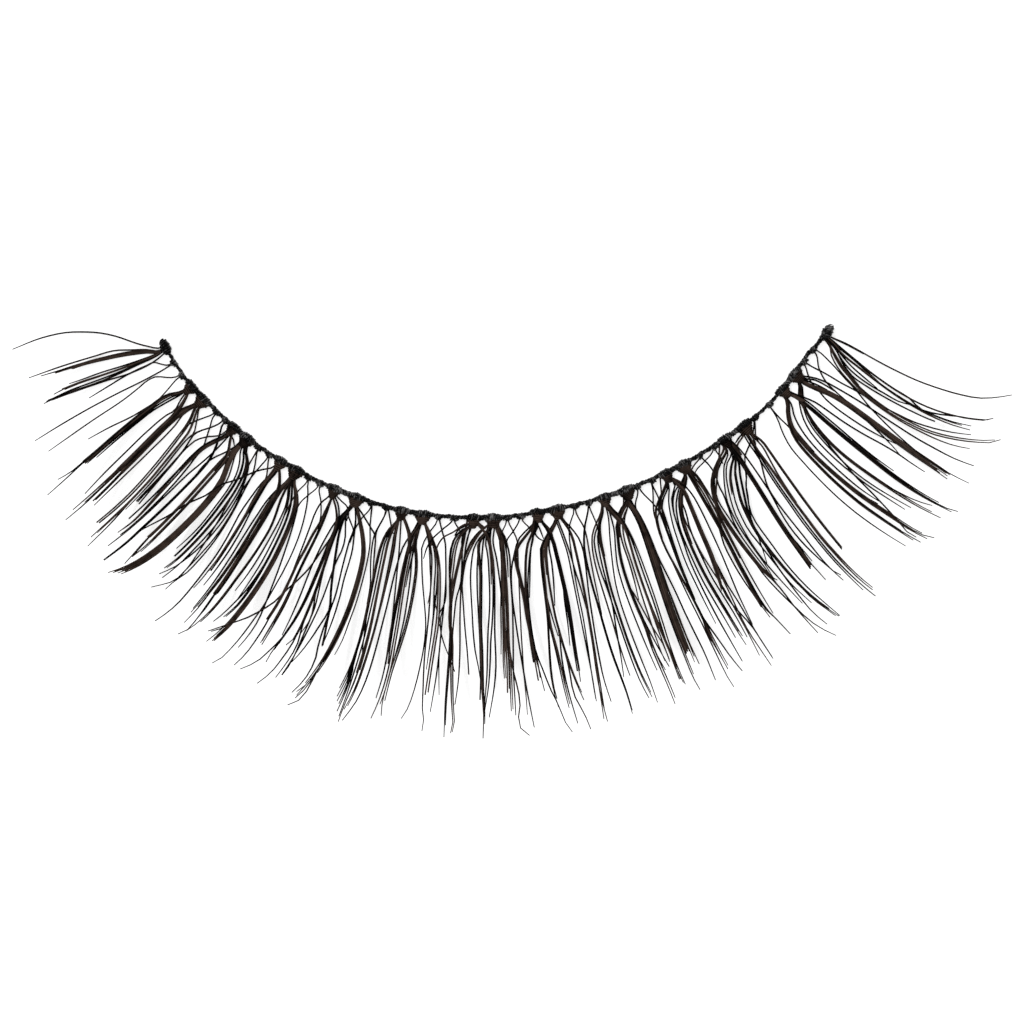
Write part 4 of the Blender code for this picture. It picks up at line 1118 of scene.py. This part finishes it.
    def radius(self, stations: Array, end: End, chance: np.random.Generator) -> Array:
        """A hair's radius at each station: full from near the root, and less from taper_start to the tip.

        Args:
            stations: places along the hair, 0 at the root and 1 at the tip.
            end: how the lock ends.
            chance: the seeded source of small differences.

        Returns:
            The radii, in metres.
        """
        tip = self.cut_share if end is CUT else self.tip_share
        own = self.diameter / 2 * chance.uniform(*self.girths)
        places = (0.0, self.root_taper, self.taper_start, 1.0)
        return own * np.interp(stations, places, (self.root_share, 1.0, 1.0, tip))

    def tone_and_highlight(self, width: float, chance: np.random.Generator) -> float:
        """How warm a hair's colour is: the hairs of a thick lock get more brown than others, as a painted sheen.

        Args:
            width: the width of the hair's lock.
            chance: the seeded source of small differences.

        Returns:
            A number from 0, deep, to 1, warm, which on a thick lock is in part painted sheen.
        """
        middle, spread, least = self.thick_sheen_tone if width > self.thick_lock else self.thin_tone
        return float(np.clip(chance.normal(middle, spread), least, 1.0))


@dataclass
class Knot:
    """A knot tied of fibre turns round the thread: a smooth core under criss-crossing windings.

    The pairs called turn_spread, slants and tones are the least and the most of a small difference.
    """

    sheet: LashSheet
    length: float
    radius: float
    fibre: float
    pitch: float
    windings: int
    outward_shift: float = 0.0
    segments: int = 11
    flatness: float = 1.15
    roughness: float = 0.14
    lumps: tuple[float, float] = (0.37, 0.83)
    end_swell: float = 0.35
    core_share: float = 0.8
    core_stations: int = 9
    # The core's share of the thread finish's painted glint grey.
    core_glint: float = 0.2
    turn_spread: tuple[float, float] = (0.8, 1.2)
    slants: tuple[float, float] = (0.5, 1.3)
    # Each winding's share of the thread finish's painted glint grey, drawn between these two.
    tones_and_highlights: tuple[float, float] = (0.2, 1.0)

    def tie(self, bundle: Bundle, place: float, chance: np.random.Generator) -> None:
        """Adds the knot to a bundle.

        The core is a tube whose radius rises from both ends with a root of a half wave. A winding's
        line is the axis, plus the radial direction times that same radius, moving on evenly with its
        turns and swaying along the band once a turn, so that its turns slant. Its upright radius is
        flatness times the level one, and two slow waves called lumps make its turns uneven.

        Args:
            bundle: the bundle to add to.
            place: the knot's thousandth along the band.
            chance: the seeded source of small differences.
        """
        centre, along, outward = self.sheet.local_axes(place * THOUSANDTH)
        centre = centre + outward * self.outward_shift
        way = np.linspace(0.0, 1.0, self.core_stations)
        line = centre + along * ((way - 0.5) * self.length)[:, None]
        barrel = self.core_share * (self.radius - self.fibre) * self.swell(way)
        bundle.sweep(line[None], barrel[None], np.array([self.core_glint]))
        for number in range(self.windings):
            self.wind(bundle, (centre, along, outward), 1 - 2 * (number % 2), chance)

    def swell(self, way: Array) -> Array:
        """How thick the knot is along its length: end_swell plus the rest times a root of a half wave."""
        return self.end_swell + (1 - self.end_swell) * np.sin(np.pi * np.clip(way, 0.0, 1.0)) ** 0.5

    def wind(
        self, bundle: Bundle, axes: tuple[Array, Array, Array], hand: int, chance: np.random.Generator
    ) -> None:
        """Adds one winding: see tie for its formula.

        Args:
            bundle: the bundle to add to.
            axes: the knot's middle, the direction along the band and the one outward.
            hand: 1 or -1, the way that it turns.
            chance: the seeded source of small differences.
        """
        centre, along, outward = axes
        turns = self.length / self.pitch * chance.uniform(*self.turn_spread)
        way = np.linspace(0.0, 1.0, int(self.segments * turns) + 1)
        angle = hand * 2 * np.pi * turns * way + chance.uniform(0, 2 * np.pi)
        waves = sum(np.sin(angle * lump + chance.uniform(0, LARGEST_PHASE)) for lump in self.lumps)
        radius = (self.radius - self.fibre) * self.swell(way) * (1 + self.roughness * waves)
        slant = self.pitch * chance.uniform(*self.slants)
        shift = (way - 0.5) * self.length + slant * np.sin(angle + chance.uniform(0, LARGEST_PHASE))
        level = outward * (np.cos(angle) * radius)[:, None]
        upright = UPWARD * (np.sin(angle) * radius * self.flatness)[:, None]
        line = centre + along * shift[:, None] + level + upright
        line[:, 2] = np.maximum(line[:, 2], self.fibre)
        thick = self.fibre * thin_ends(way)
        bundle.sweep(line[None], thick[None], chance.uniform(*self.tones_and_highlights, 1), (level + upright)[None])


@dataclass
class Collar:
    """The cone of gathered hair below a main knot, wide at the band and narrow at its hairs.

    The pairs called turn_spread, stave_tones and tones are the least and the most of a small difference.
    """

    sheet: LashSheet
    mouth: float
    waist: float
    depth: float = 0.00046
    hold: float = 0.25
    staves: int = 7
    fibre: float = 0.000026
    pitch: float = 0.000075
    height: float = 0.00015
    windings: int = 2
    stations: int = 9
    stave_span: float = 0.84
    stave_overlap: float = 1.25
    fall: float = 0.00006
    flattening: float = 0.4
    segments: int = 12
    roughness: float = 0.07
    lump: float = 0.37
    turn_spread: tuple[float, float] = (0.8, 1.2)
    stave_tones: tuple[float, float] = (0.1, 0.9)
    tones_and_highlights: tuple[float, float] = (0.3, 1.0)

    def half(self, way: Array) -> Array:
        """Half the cone's width: the mouth's up to hold, then evenly down to the waist's."""
        return self.waist + (self.mouth - self.waist) * np.clip((1 - way) / (1 - self.hold), 0.0, 1.0)

    def tie(self, bundle: Bundle, place: float, chance: np.random.Generator) -> None:
        """Adds the cone to a bundle.

        Staves run side by side from the band to the waist, each at its own share of the half width. A
        winding goes round them: along the band by the half width times the cosine of its angle, upward
        by the height times the sine, and outward evenly with its turns. A slow wave makes it uneven.

        Args:
            bundle: the bundle to add to.
            place: the knot's thousandth along the band.
            chance: the seeded source of small differences.
        """
        centre, along, outward = self.sheet.local_axes(place * THOUSANDTH)
        way = np.linspace(0.0, 1.0, self.stations)
        spread = np.linspace(-self.stave_span, self.stave_span, self.staves)[:, None, None]
        lines = centre + outward * (way * self.depth)[:, None] + spread * along * self.half(way)[:, None]
        lines[..., 2] -= self.fall * way
        thick = np.tile(self.half(way) / self.staves * self.stave_overlap, (self.staves, 1))
        bundle.sweep(lines, thick, chance.uniform(*self.stave_tones, self.staves))
        for number in range(self.windings):
            turns = self.depth / self.pitch * chance.uniform(*self.turn_spread)
            wound = np.linspace(0.0, 1.0, int(self.segments * turns) + 1)
            angle = (1 - 2 * number) * 2 * np.pi * turns * wound + chance.uniform(0, LARGEST_PHASE)
            wave = 1 + self.roughness * np.sin(angle * self.lump + chance.uniform(0, LARGEST_PHASE))
            level = along * (np.cos(angle) * self.half(wound) * wave)[:, None]
            tall = self.height * (1 - self.flattening * wound)
            aside = level + UPWARD * (np.sin(angle) * tall)[:, None]
            line = centre + outward * (wound * self.depth)[:, None] + aside
            line[:, 2] = np.maximum(line[:, 2], self.fibre)
            thin = self.fibre * thin_ends(wound)
            bundle.sweep(line[None], thin[None], chance.uniform(*self.tones_and_highlights, 1), aside[None])


@dataclass
class BandThread:
    """The carrying thread: three plies twisted round each other, with a fine fibre wound over them."""

    sheet: LashSheet
    palette: Palette
    # Each ply's share of the thread finish's painted glint grey.
    ply_glints: tuple[float, ...] = (0.3, 0.5, 0.7)
    ply_radius: float = 0.000058
    twist_radius: float = 0.000042
    pitch: float = 0.00042
    tail: float = 0.00025
    girths: str = "0@.8 55@.8 70@1 838@1 848@.84 900@.84 912@1 1000@1"
    sections_a_turn: int = 10
    wrap_radius: float = 0.000022
    wrap_pitch: float = 0.0007
    wrap_start: float = 1.0
    # The wound fibre's share of the thread finish's painted glint grey.
    wrap_glint: float = 0.9

    def girth(self, shares: Array) -> Array:
        """How thick the thread is at each share of the band, 1 being full, read along girths."""
        spots = read_places(self.girths)
        return np.interp(shares, spots[:, 0], spots[:, 1])

    def helix(self, shares: Array, radius: Array, pitch: float, start: float) -> tuple[Array, Array]:
        """A line that winds round the band's axis by its distance along the band over the pitch.

        Args:
            shares: places along the band.
            radius: distance from the axis at each share.
            pitch: length of one turn, negative for the other hand.
            start: angle at the band's left end.

        Returns:
            The line's points and the radial directions there.
        """
        angle = start + 2 * np.pi * shares * self.sheet.length / pitch
        plan = self.sheet.plan(shares, self.sheet.sway(shares))
        heading = self.sheet.heading(np.clip(shares, 0.0, 1.0))
        outward = np.stack([-np.sin(heading), -np.cos(heading), np.zeros_like(heading)], axis=1)
        radial = outward * np.cos(angle)[:, None] + UPWARD * np.sin(angle)[:, None]
        centre = np.concatenate([plan, np.full((len(plan), 1), self.sheet.axis_height)], axis=1)
        return centre + radial * radius[:, None], radial

    def build(self) -> bpy.types.Object:
        """Twists the plies, winds the fibre over them the other way, and dresses them as one piece.

        Returns:
            The piece.
        """
        bundle = Bundle("band_plies", FIBRE_SIDES)
        over = self.tail / self.sheet.length
        count = int(self.sections_a_turn * (self.sheet.length + 2 * self.tail) / self.pitch)
        shares = np.linspace(-over, 1 + over, count)
        girth = self.girth(shares)
        for ply, tone_and_highlight in enumerate(self.ply_glints):
            start = 2 * np.pi * ply / len(self.ply_glints)
            line, radial = self.helix(shares, self.twist_radius * girth, self.pitch, start)
            thick = (self.ply_radius * girth)[None]
            bundle.sweep(line[None], thick, np.array([tone_and_highlight]), radial[None])
        reach = (self.twist_radius + self.ply_radius) * girth
        line, radial = self.helix(shares, reach, -self.wrap_pitch, self.wrap_start)
        thin = np.full((1, count), self.wrap_radius)
        bundle.sweep(line[None], thin, np.array([self.wrap_glint]), radial[None])
        return self.palette.dress(bundle, Slot.THREAD, ["band_thread"])


@dataclass
class LashTufts:
    """The main knots, each with its fan of lashes, and the wraps that join the knots of a pair.

    In knot_lengths, mouths and waists the first size is the left knot's of a pair.
    """

    sheet: LashSheet
    palette: Palette
    knot_lengths: tuple[float, float] = (0.00056, 0.00068)
    end_knot_length: float = 0.0006
    knot_radius: float = 0.000178
    end_knot_radius: float = 0.00022
    mouths: tuple[float, float] = (0.00027, 0.00034)
    waists: tuple[float, float] = (0.00007, 0.00012)
    end_knot_places: tuple[float, float] = (-1.0, 1003.0)
    joining_radius: float = 0.00012
    fibre: float = 0.000028
    pitch: float = 0.000085
    windings: int = 4
    joining_slack: float = 1.3
    joining_windings: int = 3
    root_span: float = 0.45
    seed: int = 20

    def build(self) -> None:
        """Builds a knot piece and a lash piece for every main tie, with a collar but at the two ends."""
        hairs = Hairs(self.sheet)
        last = len(MAIN_TIES) - 1
        for number, tie in enumerate(MAIN_TIES):
            chance = np.random.default_rng(self.seed + number)
            at_end = number in (0, last)
            side = 1 - number % 2
            length = self.end_knot_length if at_end else self.knot_lengths[side]
            radius = self.end_knot_radius if at_end else self.knot_radius
            node = f"lash_cluster_{number + 1:02d}"
            ball = Bundle(f"knot_{number + 1:02d}", FIBRE_SIDES)
            place = self.end_knot_places[number > 0] if at_end else tie.place
            knot = Knot(self.sheet, length, radius, self.fibre, self.pitch, self.windings)
            knot.tie(ball, place, chance)
            if number % 2 and not at_end:
                self.join(ball, tie.place, MAIN_TIES[number + 1].place, chance)
            self.palette.dress(ball, Slot.THREAD, [node])
            lashes = Bundle(f"lashes_{number + 1:02d}", hairs.sides)
            if not at_end:
                Collar(self.sheet, self.mouths[side], self.waists[side]).tie(lashes, tie.place, chance)
            made = hairs.grow(lashes, tie, length * self.root_span, number % 2, chance)
            self.palette.dress(lashes, Slot.HAIR, [node])
            LOG.info("%s carries %d hairs", node, made)

    def join(self, bundle: Bundle, start: float, end: float, chance: np.random.Generator) -> None:
        """Wraps the thread between the two knots of a pair.

        Args:
            bundle: the bundle to add to.
            start: the left knot's thousandth.
            end: the right knot's thousandth.
            chance: the seeded source of small differences.
        """
        length = (end - start) * THOUSANDTH * self.sheet.length
        pitch = self.pitch * self.joining_slack
        wrap = Knot(self.sheet, length, self.joining_radius, self.fibre, pitch, self.joining_windings)
        wrap.tie(bundle, (start + end) / 2, chance)


@dataclass
class SmallTies:
    """The small knots between the tufts, in pairs, with the fine hairs that cross below them."""

    sheet: LashSheet
    palette: Palette
    knot_length: float = 0.00024
    knot_radius: float = 0.000145
    outward_shift: float = 0.00005
    fibre: float = 0.000026
    pitch: float = 0.00008
    windings: int = 3
    hair_diameter: float = 0.000073
    root_span: float = 0.14
    seed: int = 300

    def build(self) -> None:
        """Builds a piece of two small knots, and one of their hairs, for every pair."""
        hairs = Hairs(self.sheet, diameter=self.hair_diameter)
        knot = Knot(
            self.sheet, self.knot_length, self.knot_radius, self.fibre, self.pitch, self.windings,
            self.outward_shift,
        )
        for pair in range(len(SMALL_TIES) // 2):
            chance = np.random.default_rng(self.seed + pair)
            both = SMALL_TIES[2 * pair:2 * pair + 2]
            nodes = [f"spacer_knot_{2 * pair + side:02d}" for side in (1, 2)]
            balls = Bundle(f"small_knots_{pair + 1:02d}", FIBRE_SIDES)
            strands = Bundle(f"crossing_hairs_{pair + 1:02d}", hairs.sides)
            made = 0
            for side, tie in enumerate(both):
                knot.tie(balls, tie.place, chance)
                made += hairs.grow(strands, tie, self.knot_length * self.root_span, side, chance)
            self.palette.dress(balls, Slot.THREAD, nodes)
            self.palette.dress(strands, Slot.HAIR, nodes)
            LOG.info("pair %d carries %d fine hairs", pair + 1, made)


# Studio


@dataclass(frozen=True)
class Softbox:
    """A square lamp: where it hangs, its side and its power in watts."""

    name: str
    spot: tuple[float, float, float]
    size: float
    power: float


@dataclass
class Studio:
    """A plain white table seen from straight above, in soft light."""

    view_width: float = 0.04309
    view_centre: tuple[float, float] = (0.000785, 0.00029)
    view_height: float = 0.0002
    lens: float = 1000.0
    sensor: float = 36.0
    clip: tuple[float, float] = (0.05, 20.0)
    table: float = 8.0
    table_white: float = 0.93
    table_roughness: float = 0.9
    table_glow: float = 0.6
    world_glow: float = 0.3
    softboxes: tuple[Softbox, ...] = (
        Softbox("softbox_over", (0.0, -0.2, 1.9), 1.6, 9.0),
        Softbox("softbox_left", (-0.5, 0.5, 1.1), 0.16, 5.0),
    )

    def build(self) -> None:
        """Makes the table, the lights, the world and the camera."""
        self.make_table()
        for softbox in self.softboxes:
            self.make_light(softbox)
        self.make_world()
        self.make_camera()

    def make_table(self) -> None:
        """A flat white light table just under the strip."""
        half = self.table / 2
        corners = [(-half, -half, 0), (half, -half, 0), (half, half, 0), (-half, half, 0)]
        data = bpy.data.meshes.new("table")
        data.from_pydata(corners, [], [(0, 1, 2, 3)])
        paper = bpy.data.materials.new("white_paper")
        paper.use_nodes = True
        shader = paper.node_tree.nodes["Principled BSDF"]
        shader.inputs["Base Color"].default_value = (self.table_white,) * 3 + (1.0,)
        shader.inputs["Emission Color"].default_value = (1.0, 1.0, 1.0, 1.0)
        shader.inputs["Emission Strength"].default_value = self.table_glow
        shader.inputs["Roughness"].default_value = self.table_roughness
        shader.inputs["Specular IOR Level"].default_value = 0.0
        data.materials.append(paper)
        table = bpy.data.objects.new("table", data)
        bpy.context.scene.collection.objects.link(table)

    def make_light(self, softbox: Softbox) -> None:
        """A softbox that looks at the strip.

        Args:
            softbox: the lamp to make.
        """
        data = bpy.data.lights.new(softbox.name, "AREA")
        data.size = softbox.size
        data.energy = softbox.power
        lamp = bpy.data.objects.new(softbox.name, data)
        lamp.location = softbox.spot
        aim = -np.array(softbox.spot)
        yaw = math.atan2(aim[1], aim[0])
        pitch = math.acos(-aim[2] / float(np.linalg.norm(aim)))
        lamp.rotation_euler = (0.0, -pitch, yaw)
        lamp.visible_camera = False
        bpy.context.scene.collection.objects.link(lamp)

    def make_world(self) -> None:
        """An even pale surrounding."""
        world = bpy.data.worlds.new("studio")
        world.use_nodes = True
        shade = world.node_tree.nodes["Background"]
        shade.inputs["Color"].default_value = (1.0, 1.0, 1.0, 1.0)
        shade.inputs["Strength"].default_value = self.world_glow
        bpy.context.scene.world = world
        bpy.context.scene.view_settings.view_transform = "Standard"

    def make_camera(self) -> None:
        """A long lens straight above, far enough to take in the view's width on the table."""
        data = bpy.data.cameras.new("camera")
        data.lens = self.lens
        data.sensor_width = self.sensor
        data.clip_start, data.clip_end = self.clip
        camera = bpy.data.objects.new("camera", data)
        away = self.view_width * self.lens / self.sensor
        camera.location = (*self.view_centre, away + self.view_height)
        bpy.context.scene.collection.objects.link(camera)
        bpy.context.scene.camera = camera


def main() -> None:
    """Builds the strip and its studio."""
    logging.basicConfig(level=logging.INFO, format="%(name)s: %(message)s")
    sheet = LashSheet()
    palette = Palette()
    palette.prepare()
    BandThread(sheet, palette).build()
    LashTufts(sheet, palette).build()
    SmallTies(sheet, palette).build()
    Studio().build()


if __name__ == "__main__":
    main()
